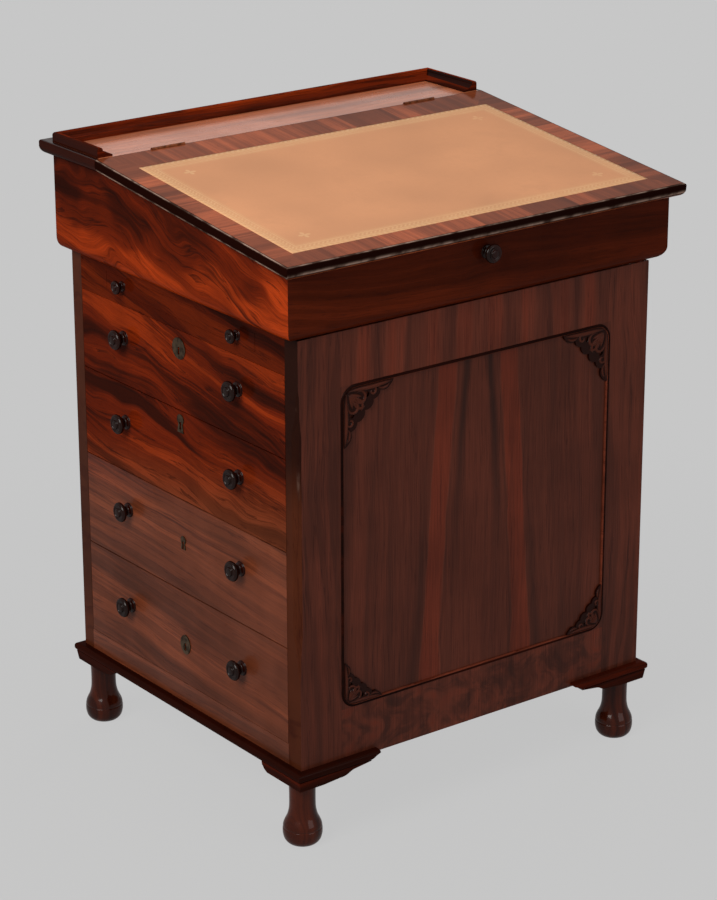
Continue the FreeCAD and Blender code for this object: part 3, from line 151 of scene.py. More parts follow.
def colours():
    """The colour settings as plain tuples."""
    group = bpy.context.scene.davenport_colours
    return SimpleNamespace(**{name: tuple(getattr(group, name)) for name in DavenportColours.__annotations__})


def darker(colour, share):
    """A colour times a share; a share above one makes it lighter."""
    return tuple(channel * share for channel in colour)


def tones(colour, *shares):
    """One colour at several shares."""
    return tuple(darker(colour, share) for share in shares)


def blend_colour(first, second, share):
    """A colour between two others."""
    return tuple(a + (b - a) * share for a, b in zip(first, second))


# ---- shader helpers

class Signal:
    """A node's output that can be added, subtracted, multiplied and divided like a number."""

    def __init__(self, wiring, socket):
        self.wiring = wiring
        self.socket = socket

    def __add__(self, other):
        return self.wiring.math("ADD", self, other)

    def __sub__(self, other):
        return self.wiring.math("SUBTRACT", self, other)

    def __rsub__(self, other):
        return self.wiring.math("SUBTRACT", other, self)

    def __mul__(self, other):
        return self.wiring.math("MULTIPLY", self, other)

    def __truediv__(self, other):
        return self.wiring.math("DIVIDE", self, other)

    def __abs__(self):
        return self.wiring.math("ABSOLUTE", self)

    __radd__ = __add__


class Wiring:
    """Adds nodes to one tree."""

    def __init__(self, tree):
        self.tree = tree

    def feed(self, socket, value):
        """Links a socket to a signal or sets its plain value; a colour needs no alpha."""
        if isinstance(value, Signal):
            self.tree.links.new(value.socket, socket)
        elif socket.type == "RGBA":
            socket.default_value = (*value, 1.0)
        else:
            socket.default_value = value

    def fill(self, item, **inputs):
        """Feeds the named inputs of a node."""
        for name, value in inputs.items():
            self.feed(item.inputs[name.replace("_", " ")], value)

    def node(self, kind, settings=None, **inputs):
        """Adds a node; settings are its attributes and inputs are named by socket."""
        item = self.tree.nodes.new(kind)
        for name, value in (settings or {}).items():
            setattr(item, name, value)
        self.fill(item, **inputs)
        return item

    def out(self, kind, output=0, settings=None, **inputs):
        """One output of a new node."""
        return Signal(self, self.node(kind, settings, **inputs).outputs[output])

    def numbered(self, kind, settings, values):
        """The output of a new node whose inputs are fed in order."""
        item = self.node(kind, settings)
        for socket, value in zip(item.inputs, values):
            self.feed(socket, value)
        return Signal(self, item.outputs[0])

    def math(self, operation, *values):
        """One Math node."""
        return self.numbered("ShaderNodeMath", {"operation": operation}, values)

    def most(self, first, second):
        """The larger of two numbers."""
        return self.math("MAXIMUM", first, second)

    def least(self, first, second):
        """The smaller of two numbers."""
        return self.math("MINIMUM", first, second)

    def scale(self, vector, factors):
        """A vector times another, part by part."""
        return self.numbered("ShaderNodeVectorMath", {"operation": "MULTIPLY"}, (vector, factors))

    def place(self):
        """The object's own coordinates, in metres."""
        return self.out("ShaderNodeTexCoord", "Object")

    def axes(self, letters, vector=None):
        """Parts of a vector, or of the object's own coordinates, by letter."""
        item = self.node("ShaderNodeSeparateXYZ", Vector=vector or self.place())
        return [Signal(self, item.outputs["XYZ".index(letter)]) for letter in letters]

    def join(self, x, y, z=0.0):
        """A vector from its three parts."""
        return self.out("ShaderNodeCombineXYZ", X=x, Y=y, Z=z)

    def noise(self, vector, scale=1.0, detail=2.0, roughness=0.5, distortion=0.0):
        """Smooth noise from 0 to 1."""
        return self.out("ShaderNodeTexNoise", Vector=vector, Scale=scale, Detail=detail,
                        Roughness=roughness, Distortion=distortion)

    def span(self, value, low, high, start=0.0, end=1.0):
        """Eases from start to end while the value goes from low to high, and holds both ends."""
        return self.numbered("ShaderNodeMapRange", {"interpolation_type": "SMOOTHSTEP"},
                             (value, low, high, start, end))

    def fall(self, value, low, high):
        """One up to the low value, easing to nothing at the high one."""
        return self.span(value, low, high, 1.0, 0.0)

    def hill(self, value, middle, reach):
        """One at the middle value, easing to nothing a reach away on both sides."""
        return self.fall(abs(value - middle), 0.0, reach)

    def mix(self, share, first, second):
        """Mixes two colours; the colour sockets of a Mix node are numbers 6 and 7, its output number 2."""
        item = self.node("ShaderNodeMix", {"data_type": "RGBA"})
        for index, value in ((0, share), (6, first), (7, second)):
            self.feed(item.inputs[index], value)
        return Signal(self, item.outputs[2])

    def blend(self, share, first, second):
        """Mixes two numbers."""
        return self.out("ShaderNodeMix", Factor=share, A=first, B=second)

    def bump(self, height, strength, distance):
        """A normal bent by a height."""
        return self.out("ShaderNodeBump", Height=height, Strength=strength, Distance=distance)

    def shared(self, tree, names, **inputs):
        """The named outputs of a shared group."""
        item = self.node("ShaderNodeGroup", {"node_tree": tree}, **inputs)
        return [Signal(self, item.outputs[name]) for name in names]

    def seen_plainly(self):
        """One where the camera, a mirror or glass looks at the ground."""
        path = self.node("ShaderNodeLightPath")
        rays = [Signal(self, path.outputs[f"Is {kind} Ray"]) for kind in ("Camera", "Glossy", "Transmission")]
        return self.most(self.most(*rays[:2]), rays[2])

    def ground(self, kind, share, lit, plain):
        """Mixes two shaders into a new output node."""
        self.node(kind, Surface=self.numbered("ShaderNodeMixShader", {}, (share, lit, plain)))


def new_group(name, numbers, results):
    """A shader group with a Vector, number inputs with their defaults, and number outputs."""
    tree = bpy.data.node_groups.new(name, "ShaderNodeTree")
    new_socket = tree.interface.new_socket
    new_socket(name="Vector", in_out="INPUT", socket_type="NodeSocketVector")
    for socket, default in numbers.items():
        new_socket(name=socket, in_out="INPUT", socket_type="NodeSocketFloat").default_value = default
    for socket in results:
        new_socket(name=socket, in_out="OUTPUT", socket_type="NodeSocketFloat")
    w = Wiring(tree)
    source = w.node("NodeGroupInput")
    return w, [Signal(w, source.outputs[socket]) for socket in ("Vector", *numbers)]


TIMBER_MASKS = ("Tone", "Vein", "Fibre", "Pore")


def timber_group():
    """Figure of sawn wood.  The vector's X runs along the grain, in metres; Seed picks the plank.

    Slow noise bends straight lines across the grain.  Noise along the bent lines is the broad Tone; its
    saw-tooth contours are the growth lines, which Vein joins with dark streaks.  Fibre is fine silk.
    """
    name = "Timber figure"
    if name in bpy.data.node_groups:
        return bpy.data.node_groups[name]
    numbers = {"Seed": 0.0, "Sway": 0.03, "Vein width": 0.5, "Rings": 42.0}
    w, (vector, seed, sway, vein_width, ring_count) = new_group(name, numbers, TIMBER_MASKS)
    plank = seed * 7.31
    offset = w.join(plank, plank * 0.63, plank * 0.29)
    moved = w.numbered("ShaderNodeVectorMath", {"operation": "ADD"}, (vector, offset))
    drift = w.noise(w.scale(moved, (2.4, 5.5, 5.5)), detail=1.5)
    ripple = w.noise(w.scale(moved, (8.0, 14.0, 14.0)))
    along, across, depth = w.axes("XYZ", moved)
    bent = across + (drift - 0.5) * sway + (ripple - 0.5) * (sway * 0.3)
    rings = bent * ring_count
    tone = w.noise(w.join(along * 1.3, rings, depth), detail=5.0, roughness=0.62)
    line = w.noise(w.join(along * 2.2, rings * 2.3, depth), detail=4.0, roughness=0.6)
    streak = w.span(line, 0.72 - vein_width * 0.2, 0.72)
    growth = w.fall(w.math("FRACT", tone * 11.0), 0.0, 0.3) * w.span(line, 0.34, 0.58, 0.0, 0.85)
    fibre = w.noise(w.join(along * 14.0, bent * 900.0, depth), roughness=0.6)
    pores = w.noise(w.join(along * 70.0, bent * 1900.0, depth), detail=1.0)
    w.node("NodeGroupOutput", Tone=w.span(tone, 0.32, 0.68), Vein=w.most(streak, growth), Fibre=fibre,
           Pore=w.span(pores, 0.62, 0.72))
    return w.tree


def age_group():
    """Age on polish: broad cloudy darkening and small dull marks, both from 0 to 1."""
    name = "Age marks"
    if name in bpy.data.node_groups:
        return bpy.data.node_groups[name]
    w, (vector,) = new_group(name, {}, ("Cloud", "Mark"))
    w.node("NodeGroupOutput", Cloud=w.span(w.noise(vector, 6.0, 3.0, 0.6), 0.35, 0.7),
           Mark=w.span(w.noise(vector, 90.0, 3.0, 0.65), 0.6, 0.75))
    return w.tree


# the way the fibres run: which axis is laid along, across and into the wood
GRAIN = {"X": "XZY", "Y": "YZX", "Z": "ZXY", "X flat": "XYZ", "Y flat": "YXZ"}


def grain_vector(w, grain, tilt=0.0):
    """Object coordinates laid so that X runs along the grain; tilt turns the grain in its face."""
    vector = w.join(*w.axes(GRAIN[grain]))
    if tilt:
        vector = w.out("ShaderNodeMapping", Vector=vector, Rotation=(0.0, 0.0, tilt))
    return vector


def emptied(owner):
    """The wiring of a material's or a world's emptied tree."""
    owner.use_nodes = True
    owner.node_tree.nodes.clear()
    return Wiring(owner.node_tree)


def new_material(name):
    """A material, its wiring and its Principled shader, which is linked to the output."""
    material = bpy.data.materials.new(name)
    w = emptied(material)
    shader = w.node("ShaderNodeBsdfPrincipled")
    w.node("ShaderNodeOutputMaterial", Surface=Signal(w, shader.outputs[0]))
    return material, w, shader


def polish(w, shader, roughness, coat, specular, coat_roughness=0.12):
    """French polish: a thin clear coat over a wood whose own gloss is low."""
    w.fill(shader, Roughness=roughness, Coat_Weight=coat, Coat_Roughness=coat_roughness,
           Specular_IOR_Level=specular)


def timber(w, vector, seed, sway=0.03, vein_width=0.5, rings=42.0):
    """The tone, vein, fibre and pore masks of a plank."""
    return w.shared(timber_group(), TIMBER_MASKS, Vector=vector, Seed=seed, Sway=sway,
                    Vein_width=vein_width, Rings=rings)


def wood_colour(w, masks, shade, body, flame, vein, vein_share=0.85):
    """Colour of one veneer from its masks."""
    tone, streak, fibre, pore = masks
    colour = w.mix(w.span(tone, 0.05, 0.5), shade, body)
    colour = w.mix(w.span(tone, 0.5, 0.95), colour, flame)
    colour = w.mix(streak * vein_share, colour, vein)
    colour = w.mix(w.span(fibre, 0.35, 0.65, 0.0, 0.3), colour, shade)
    return w.mix(pore * 0.4, colour, vein)


def finish_wood(w, shader, colour, masks, roughness=(0.32, 0.46), coat=0.1, specular=0.02):
    """Sets colour, gloss and the open grain of a polished wood."""
    fibre, pore = masks[2:]
    cloud, mark = w.shared(age_group(), ("Cloud", "Mark"), Vector=w.place())
    grime = (0.008, 0.003, 0.002)
    polish(w, shader, w.span(cloud, 0.0, 1.0, *roughness) + mark * 0.12, coat, specular)
    w.fill(shader, Base_Color=w.mix(cloud * 0.3, colour, grime),
           Normal=w.bump(fibre * 0.25 - pore, 0.35, 0.12 * MM))


def veneer(name, grain, seed, wood, sway=0.03, vein_width=0.5, rings=42.0, tilt=0.0, vein_share=0.85,
           coat=0.06, specular=0.02, roughness=(0.32, 0.46), fade=None):
    """A plain veneered or solid board in four tones: shade, body, flame and vein.

    fade holds the four tones that it takes below a line that falls towards the back; these paler tones, with
    a pale veil towards the front, are a painted sheen for the pale floor's reflection on the lower fronts.
    """
    material, w, shader = new_material(name)
    masks = timber(w, grain_vector(w, grain, tilt), seed, sway, vein_width, rings)
    colour = wood_colour(w, masks, *wood, vein_share)
    if fade:
        y, z = w.axes("YZ")
        line = z + y * 0.14
        colour = w.mix(w.fall(line, 0.36, 0.47), colour, wood_colour(w, masks, *fade, vein_share))
        # painted sheen: a pale veil towards the front, below the line, for the floor's reflection
        painted_sheen = w.span(y, -0.2, 0.05, 0.16, 0.0) * w.fall(line, 0.3, 0.42)
        colour = w.mix(painted_sheen, colour, darker(fade[1], 2.2))
    finish_wood(w, shader, colour, masks, roughness, coat, specular)
    return material


# ---- mesh helpers

def add_object(name, data):
    """Puts a mesh, a lamp or a camera into the scene."""
    item = bpy.data.objects.new(name, data)
    bpy.context.scene.collection.objects.link(item)
    return item


def add_mesh(name, shape, body, slot, material, *nodes):
    """Makes a piece from its points and faces and seats it on its body, in place of CAD nodes if any."""
    points, faces = shape
    mesh = bpy.data.meshes.new(name)
    mesh.from_pydata(points.tolist(), [], faces)
    mesh.update()
    mesh.polygons.foreach_set("use_smooth", np.ones(len(mesh.polygons), bool))
    mesh.materials.append(material)
    piece = add_object(name, mesh)
    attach(piece, body)
    if nodes:
        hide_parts(*nodes)


def grid_faces(rows, columns, closed=False):
    """Quads of a grid whose rows follow each other; closed joins the last column to the first."""
    row = np.arange(rows - 1)[:, None]
    column = np.arange(columns if closed else columns - 1)[None, :]
    after = (column + 1) % columns
    quads = [row * columns + column, row * columns + after,
             (row + 1) * columns + after, (row + 1) * columns + column]
    return np.stack(quads, axis=-1).reshape(-1, 4)


def closed_sheet(top, bottom, rows, columns):
    """Points and faces of a thin sheet: one grid, a second one turned over, and a wall round both."""
    quads = grid_faces(rows, columns)
    under = quads[:, ::-1] + rows * columns
    index = np.arange(rows * columns).reshape(rows, columns)
    rim = np.concatenate([index[0], index[1:, -1], index[-1, -2::-1], index[-2:0:-1, 0]])
    after = np.roll(rim, -1)
    wall = np.stack([rim, rim + index.size, after + index.size, after], axis=1)
    return np.vstack([top, bottom]), np.vstack([quads, under, wall]).tolist()


def smooth_line(points, steps):
    """A smooth line through points: each stretch is a cubic whose slopes come from the neighbours."""
    points = np.asarray(points, float)
    before = np.vstack([2 * points[0] - points[1], points[:-1]])
    after = np.vstack([points[1:], 2 * points[-1] - points[-2]])
    slopes = (after - before) / 2
    share = np.linspace(0, 1, steps, endpoint=False)[:, None]
    cubic = [2 * share**3 - 3 * share**2 + 1, share**3 - 2 * share**2 + share,
             3 * share**2 - 2 * share**3, share**3 - share**2]
    stretches = [cubic[0] * a + cubic[1] * m + cubic[2] * b + cubic[3] * n
                 for a, b, m, n in zip(points[:-1], points[1:], slopes[:-1], slopes[1:])]
    return np.vstack(stretches + [points[-1:]])


def lathe(profile, axis, place, steps):
    """Points and faces of a turned form: each profile pair (radius, distance) sweeps a circle."""
    side = np.cross(axis, (0.0, 0.0, 1.0) if abs(axis[2]) < 0.9 else (0.0, 1.0, 0.0))
    side /= np.linalg.norm(side)
    up = np.cross(axis, side)
    angle = np.linspace(0, 2 * np.pi, steps, endpoint=False)[:, None]
    ring = np.cos(angle) * side + np.sin(angle) * up
    radius, distance = profile.T[:, :, None, None]
    points = (place + radius * ring + distance * axis).reshape(-1, 3)
    rows = len(profile)
    faces = grid_faces(rows, steps, closed=True)[:, ::-1].tolist()
    ends = [list(range(steps)), list(range((rows - 1) * steps, rows * steps))[::-1]]
    return points, faces + ends


def collect(shapes):
    """Joins several pairs of points and faces into one."""
    points, faces, start = [], [], 0
    for some, some_faces in shapes:
        points.append(some)
        faces += [[start + corner for corner in face] for face in some_faces]
        start += len(some)
    return np.vstack(points), faces


def node_solids(name):
    """Lowest and highest corner of each separate solid of a CAD node, from its connected corners."""
    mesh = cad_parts[name].data
    places = np.empty(len(mesh.vertices) * 3)
    mesh.vertices.foreach_get("co", places)
    unique, index = np.unique(np.round(places.reshape(-1, 3), 6), axis=0, return_inverse=True)
    edges = np.empty(len(mesh.edges) * 2, int)
    mesh.edges.foreach_get("vertices", edges)
    edges = index.reshape(-1)[edges].reshape(-1, 2)
    label = np.arange(len(unique))
    while (label[edges[:, 0]] != label[edges[:, 1]]).any():
        np.minimum.at(label, edges, label[edges].min(axis=1)[:, None])
        label = label[label]
    return [(unique[label == n].min(axis=0), unique[label == n].max(axis=0)) for n in np.unique(label)]


# ---- finishes of the carried nodes

def dress(node, material):
    """Gives a CAD node its material."""
    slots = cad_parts[node].data.materials
    slots.clear()
    slots.append(material)


def dress_some(node, material, chosen):
    """Gives some faces of a carried board another material; chosen is a true or false for each face."""
    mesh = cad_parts[node].data
    mesh.materials.append(material)
    mesh.polygons.foreach_set("material_index", chosen.astype(np.int32) * (len(mesh.materials) - 1))
    mesh.update()


def face_array(node, attribute="normal"):
    """The normals or centres of a board's faces, as an array of vectors."""
    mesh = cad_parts[node].data
    values = np.empty(len(mesh.polygons) * 3)
    mesh.polygons.foreach_get(attribute, values)
    return values.reshape(-1, 3)


def panel_veneer():
    """Front board: book-matched strips in the field, cross banding above and below, wavy grain at the sides.

    The strips lie at set distances from the field's middle line and lean outwards towards the bottom: a red
    wedge, a dark pair, a bright pair and calmer brown beyond.
    """
    c = colours()
    material, w, shader = new_material("panel_veneer")
    place = w.place()
    x, z = w.axes("XZ", place)
    aside = abs(x - (FIELD_LOW[0] + FIELD_HIGH[0]) / 2)
    rise = (z - FIELD_LOW[2]) / (FIELD_HIGH[2] - FIELD_LOW[2])
    wave = w.noise(w.join(z * 6.0, aside * 14.0))
    strip = aside + (wave - 0.5) * 0.022 + (rise - 1.0) * 0.026
    masks = timber(w, grain_vector(w, "Z"), 3.0, 0.02, 0.3, 60.0)
    tone, streak, fibre, _ = masks

    broad = w.noise(w.join(strip * 20.0, 0.4), detail=3.0, roughness=0.7)
    wedge = w.span(strip, 0.026, 0.034, 0.75, 0.0)
    field = w.blend(wedge, w.span(broad, 0.35, 0.65, 0.28, 0.66), 0.66)
    dark_pair = w.hill(strip, 0.019, 0.012) * w.span(rise, 0.25, 0.85, 0.1, 0.9)
    beyond_pair = w.hill(strip, 0.072, 0.016) * w.span(rise, 0.1, 0.9, 0.6, 0.15)
    field = field * (1.0 - w.most(dark_pair, beyond_pair))
    bright_pair = w.span(strip, 0.031, 0.037) * w.fall(strip, 0.061, 0.064)
    field = field + bright_pair * (1.15 - field) * 0.85

    bands = w.noise(w.join(strip * 30.0, 5.2, z * 0.6), roughness=0.75)
    burl = w.noise(w.scale(place, (26.0, 1.0, 30.0)), detail=3.0, roughness=0.6, distortion=1.2)
    below = w.span(rise, -0.02, 0.0, 0.6, 0.0)
    banding = w.blend(below, w.span(bands, 0.3, 0.66, 0.28, 0.95), w.span(burl, 0.35, 0.66))
    side_tone, side_streak = timber(w, grain_vector(w, "Z"), 8.6, 0.05, 0.5, 30.0)[:2]
    beside = w.math("GREATER_THAN", aside, (FIELD_HIGH[0] - FIELD_LOW[0]) / 2)
    beyond = w.math("GREATER_THAN", abs(rise - 0.5), 0.5)
    light = w.blend(beside, w.blend(beyond, field, banding), w.span(side_tone, 0.0, 1.0, 0.33, 0.85))

    colour = w.mix(light, c.panel_brown, c.panel_red)
    colour = w.mix(w.span(light, 0.75, 1.1, 0.0, 0.5), colour, c.body)
    colour = w.mix(w.span(tone, 0.0, 0.6, 0.25, 0.0), colour, c.panel_brown)
    colour = w.mix(w.blend(beside, streak, side_streak) * 0.55, colour, c.vein)
    colour = w.mix(w.span(fibre, 0.35, 0.65, 0.0, 0.3), colour, c.shade)
    finish_wood(w, shader, colour, masks, (0.36, 0.5), 0.1, 0.05)
    return material


def box_side_veneer():
    """Box sides: a swirling dark figure over a ground that is lighter in its lower half and darkened above as
    painted shadow under the lid, the border broken by noise.
    """
    c = colours()
    material, w, shader = new_material("box_side_veneer")
    tone, streak, fibre, pore = timber(w, grain_vector(w, "Y", -0.3), 12.0, 0.2, 0.8, 20.0)
    place = w.place()
    y, z = w.axes("YZ", place)
    cloud = w.noise(w.scale(place, (1.0, 7.0, 11.0)))
    # painted shadow: the ground is kept dark along the top, under the lid's overhang, and lighter below
    top = LID_HIGH[2] - 0.062 + (y - 0.13) * 0.03
    below_lid_shadow = w.fall(z + (cloud - 0.5) * 0.12, top - 0.055, top + 0.02)
    masks = (tone * 0.55 + below_lid_shadow * 0.7 - 0.06, streak, fibre, pore)
    colour = wood_colour(w, masks, darker(c.shade, 0.8), c.body, darker(c.flame, 1.5), c.vein)
    finish_wood(w, shader, colour, masks, coat=0.05, specular=0.0)
    return material


def post_veneer():
    """Side of the front stile: near-black above, as painted shade under the box, browner below, and a few
    pale painted glints on its corner.
    """
    c = colours()
    material, w, shader = new_material("post_veneer")
    masks = timber(w, grain_vector(w, "Z"), 7.0, 0.015, 0.5, 70.0)
    place = w.place()
    y, z = w.axes("YZ", place)
    colour = wood_colour(w, masks, *tones(c.pale_brown, 0.45, 0.65, 0.85), c.shade)
    # painted shade: near-black above, where the box overhangs the stile
    colour = w.mix(w.span(z, 0.42, 0.52, 0.0, 0.85), colour, darker(c.vein, 0.7))
    # painted highlights: a few small pale glints along the corner
    patch = w.span(w.noise(w.scale(place, (60.0, 60.0, 25.0)), detail=3.0), 0.52, 0.68, 0.0, 0.16)
    corner = w.hill(y, corners("front_panel")[0][1] + 0.0045, 0.0035) * w.span(z, 0.45, 0.5)
    colour = w.mix(patch * corner, colour, c.worn_and_glint)
    finish_wood(w, shader, colour, masks, coat=0.08, specular=0.0)
    return material


def carved_material():
    """Carved rosewood: dark in its sunk ground and lighter towards the crests, by the height of the carving.
    """
    c = colours()
    material, w, shader = new_material("carved_wood")
    masks = timber(w, grain_vector(w, "Z"), 41.0, 0.02, 0.3, 90.0)
    rise = w.span(CARVING_BASE - w.axes("Y")[0], 0.0, CARVING_DEPTH * 0.95)
    crest = darker(blend_colour(c.panel_red, c.panel_brown, 0.3), 0.6)
    colour = w.mix(rise, darker(c.shade, 0.3), crest)
    colour = w.mix(masks[3] * 0.3, colour, c.vein)
    finish_wood(w, shader, colour, masks, (0.3, 0.42))
    return material


def lid_veneer():
    """Lid: cross banding cut in short lengths round the leather, a very dark edge, and a pale line on its
    arris that is partly wear and partly a painted highlight.
    """
    c = colours()
    material, w, shader = new_material("lid_banding")
    place = w.place()
    x, y, z = w.axes("XYZ", place)
    to_side = (LID_HIGH[0] - LID_LOW[0]) / 2 - abs(x)
    to_front = y - LID_LOW[1]
    to_end = w.least(to_front, LID_HIGH[1] - y)
    on_side = w.math("LESS_THAN", to_side, to_end)
    along = w.mix(on_side, w.join(y, x, z), w.join(x, y, z))
    masks = timber(w, along, on_side * 3.0 + 4.0, 0.02, 0.45, 70.0)
    piece = w.math("FLOOR", w.blend(on_side, x, y) * 27.0 + 0.35)
    cut = w.out("ShaderNodeTexWhiteNoise", 0, {"noise_dimensions": "1D"}, W=piece)
    colour = wood_colour(w, masks, *tones(c.pale_brown, 1.5, 2.3, 3.0), c.shade, 0.4)
    colour = w.mix(w.span(cut, 0.3, 0.7, 0.0, 0.7), colour, darker(c.pale_brown, 0.65))
    arris = w.least(to_side, to_front)
    edge = w.fall(arris, 0.0028, 0.0036)
    colour = w.mix(edge, colour, c.vein)
    # pale line along the arris: partly wear, partly a painted highlight
    wear_and_glint = w.span(w.noise(place, 45.0, 3.0), 0.35, 0.6, 0.1, 0.75)
    colour = w.mix(w.hill(arris, 0.0016, 0.0012) * wear_and_glint, colour, c.worn_and_glint)
    finish_wood(w, shader, colour, masks, (0.28, 0.4), 0.0, 0.0)
    w.fill(shader, Coat_Weight=w.span(edge, 0.0, 1.0, 0.38, 0.0))
    return material


def shelf_veneer():
    """Fixed shelf: pale and glossy inside the gallery rail, near-black on the narrow ledge outside it."""
    c = colours()
    material, w, shader = new_material("shelf_wood")
    pale = blend_colour(darker(c.pale_brown, 3.6), c.leather, 0.25)
    masks = timber(w, grain_vector(w, "X flat"), 33.0, 0.03, 0.3)
    colour = wood_colour(w, masks, *tones(pale, 0.65, 1.0, 1.2, 0.35), 0.6)
    x, y = w.axes("XY")
    rail_side, rail_back = corners("gallery_rail")[1][:2]
    ledge = w.span(w.most(abs(x) - rail_side, y - rail_back), -0.0006, 0.0006)
    finish_wood(w, shader, w.mix(ledge, colour, darker(c.shade, 0.5)), masks, (0.22, 0.34), 0.0, 0.3)
    w.fill(shader, Coat_Weight=w.span(ledge, 0.0, 1.0, 0.55, 0.0))
    return material


def board(node, grain, seed, wood, **figure):
    """Gives a carried board a veneer of its own."""
    dress(node, veneer(f"{node}_wood", grain, seed, wood, **figure))


def dress_boards():
    """Gives each carried board its grain, plank seed, tones and figure."""
    c = colours()
    rich = (c.shade, c.body, c.flame, c.vein)
    shaded = tuple(darker(tone, 0.5) for tone in rich)
    pale_brown = (*tones(c.pale_brown, 0.5, 0.85, 1.3), c.shade)
    post = (*tones(c.pale_brown, 0.26, 0.38, 0.5), c.shade)
    dark = (darker(c.shade, 0.6), c.shade, darker(c.body, 0.55), c.vein)
    brown = (c.panel_brown, blend_colour(c.panel_brown, c.panel_red, 0.4), c.panel_red, c.vein)
    # box front: the wood's own darker tone, further darkened as painted shade under the lid's overhang
    front = (*tones(blend_colour(c.body, c.pale_brown, 0.25), 0.32, 0.48, 0.68), c.vein)
    edge = (darker(c.vein, 0.7), c.vein, c.shade, darker(c.vein, 0.5))
    lining = tones(c.lining, 0.7, 1.0, 1.2, 0.45)
    broad = dict(sway=0.12, vein_width=0.6, rings=27.0, tilt=-0.12, specular=0.0, coat=0.05)
    fine = dict(sway=0.04, vein_width=0.9, rings=40.0, tilt=-0.05, specular=0.06, coat=0.1,
                roughness=(0.4, 0.55), fade=pale_brown)
    straight = dict(sway=0.02, specular=0.0, coat=0.05)
    board("drawer_1_front", "Y", 1.0, rich, **{**broad, "vein_width": 0.7})
    board("drawer_2_front", "Y", 1.0, rich, **broad, fade=pale_brown)
    board("drawer_3_front", "Y", 3.1, rich, **fine)
    board("drawer_4_front", "Y", 3.1, rich, **fine)
    board("slide_front", "Y", 1.0, shaded, **broad)
    board("left_rails", "Y", 6.0, pale_brown, sway=0.02, specular=0.1)
    board("left_back_stile", "Z", 8.0, post, sway=0.015, rings=70.0)
    board("right_frame", "Z", 9.0, rich, sway=0.015, rings=60.0)
    board("false_fronts", "Y", 10.0, rich, sway=0.1, vein_width=0.6, rings=30.0, tilt=-0.08)
    board("back_panel", "Z", 11.0, brown, rings=34.0)
    board("box_front", "X", 14.0, front, sway=0.05, rings=40.0, tilt=0.05, vein_share=0.4, specular=0.0)
    board("box_back", "X", 15.0, front, sway=0.04)
    board("gallery_rail", "X", 16.0, rich, sway=0.02, rings=60.0, coat=0.02, specular=0.0)
    board("plinth_frame", "X", 17.0, dark, **straight)
    board("corner_brackets", "X", 18.0, dark, **straight)
    board("panel_bead", "X", 19.0, edge, **straight)
    board("dust_boards", "Y", 20.0, lining, vein_width=0.2)
    board("drawer_guides", "X", 21.0, lining, sway=0.02, vein_width=0.1)
    board("right_side_panel", "Z", 22.0, lining, vein_width=0.1)
    board("pedestal_top", "X flat", 23.0, lining, vein_width=0.1)
    board("box_bottom", "X flat", 24.0, lining, sway=0.04, vein_width=0.2)
    board("box_runners", "Y", 25.0, lining, vein_width=0.1)
    board("inner_bank", "X", 26.0, lining, vein_width=0.2)
    board("slide_board", "X flat", 27.0, lining, sway=0.05, vein_width=0.2)


class DAVENPORT_OT_veneers(bpy.types.Operator):
    """Gives every carried board its veneer or its plain lining wood"""

    bl_idname = "davenport.veneers"
    bl_label = "Veneers"

    def execute(self, context):
        c = colours()
        dress_boards()
        plain = tones(c.lining, 0.7, 1.0, 1.2, 0.45)
        dry = dict(coat=0.02, roughness=(0.45, 0.6))
        lining = veneer("drawer_lining", "X", 31.0, plain, sway=0.02, vein_width=0.1, **dry)
        flat = veneer("lining_flat", "Y flat", 32.0, plain, vein_width=0.15, **dry)
        for drawer in DRAWERS:
            dress(f"{drawer}_sides", lining)
            dress(f"{drawer}_bottom", flat)
        for node in ("inner_drawer_left", "inner_drawer_right"):
            dress(node, lining)

        panel = panel_veneer()
        dress("front_panel", panel)
        dress("left_front_stile", post_veneer())
        for node in ("left_front_stile", "right_frame"):
            dress_some(node, panel, face_array(node)[:, 1] < -0.8)
        dress("lid_board", lid_veneer())
        dress_some("lid_board", flat, face_array("lid_board")[:, 2] < -0.95)

        # painted light: the bead's inward faces take lighter tones, while its outer faces stay near-black
        middle = np.add(FIELD_LOW, FIELD_HIGH) / 2
        inward = -face_array("panel_bead") * np.sign(face_array("panel_bead", "center") - middle)
        catching_light = veneer("bead_rubbed", "X", 19.5, (*tones(c.panel_red, 0.6, 0.8, 1.0), c.shade), specular=0.0)
        dress_some("panel_bead", catching_light, np.maximum(inward[:, 0], inward[:, 2]) > 0.35)

        dress("top_shelf", shelf_veneer())
        side = box_side_veneer()
        for node in ("box_left_side", "box_right_side"):
            dress(node, side)
        for node in ("box_front", "box_back"):
            dress_some(node, side, np.abs(face_array(node)[:, 0]) > 0.7)
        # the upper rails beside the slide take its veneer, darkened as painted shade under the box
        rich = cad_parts["slide_front"].data.materials[0]
        dress_some("left_rails", rich, face_array("left_rails", "center")[:, 2] > FIELD_HIGH[2])

        near_black = (c.vein, darker(c.shade, 0.8), c.shade, darker(c.vein, 0.6))
        outer = veneer("gallery_outer_wood", "Y", 16.5, near_black, sway=0.02, coat=0.1, specular=0.0)
        dress_some("top_shelf", outer, face_array("top_shelf")[:, 2] < 0.8)
        facing = face_array("gallery_rail")
        dress_some("gallery_rail", outer, (np.abs(facing[:, 0]) > 0.5) | (facing[:, 1] > 0.3))
        return {"FINISHED"}


def brass_material(name, tone):
    """Old brass with a brown patina."""
    material, w, shader = new_material(name)
    stain = w.span(w.noise(w.place(), 140.0, 3.0, 0.6), 0.35, 0.65)
    w.fill(shader, Base_Color=w.mix(stain, tone, darker(tone, 0.35)), Metallic=1.0,
           Roughness=w.span(stain, 0.0, 1.0, 0.3, 0.55))
    return material


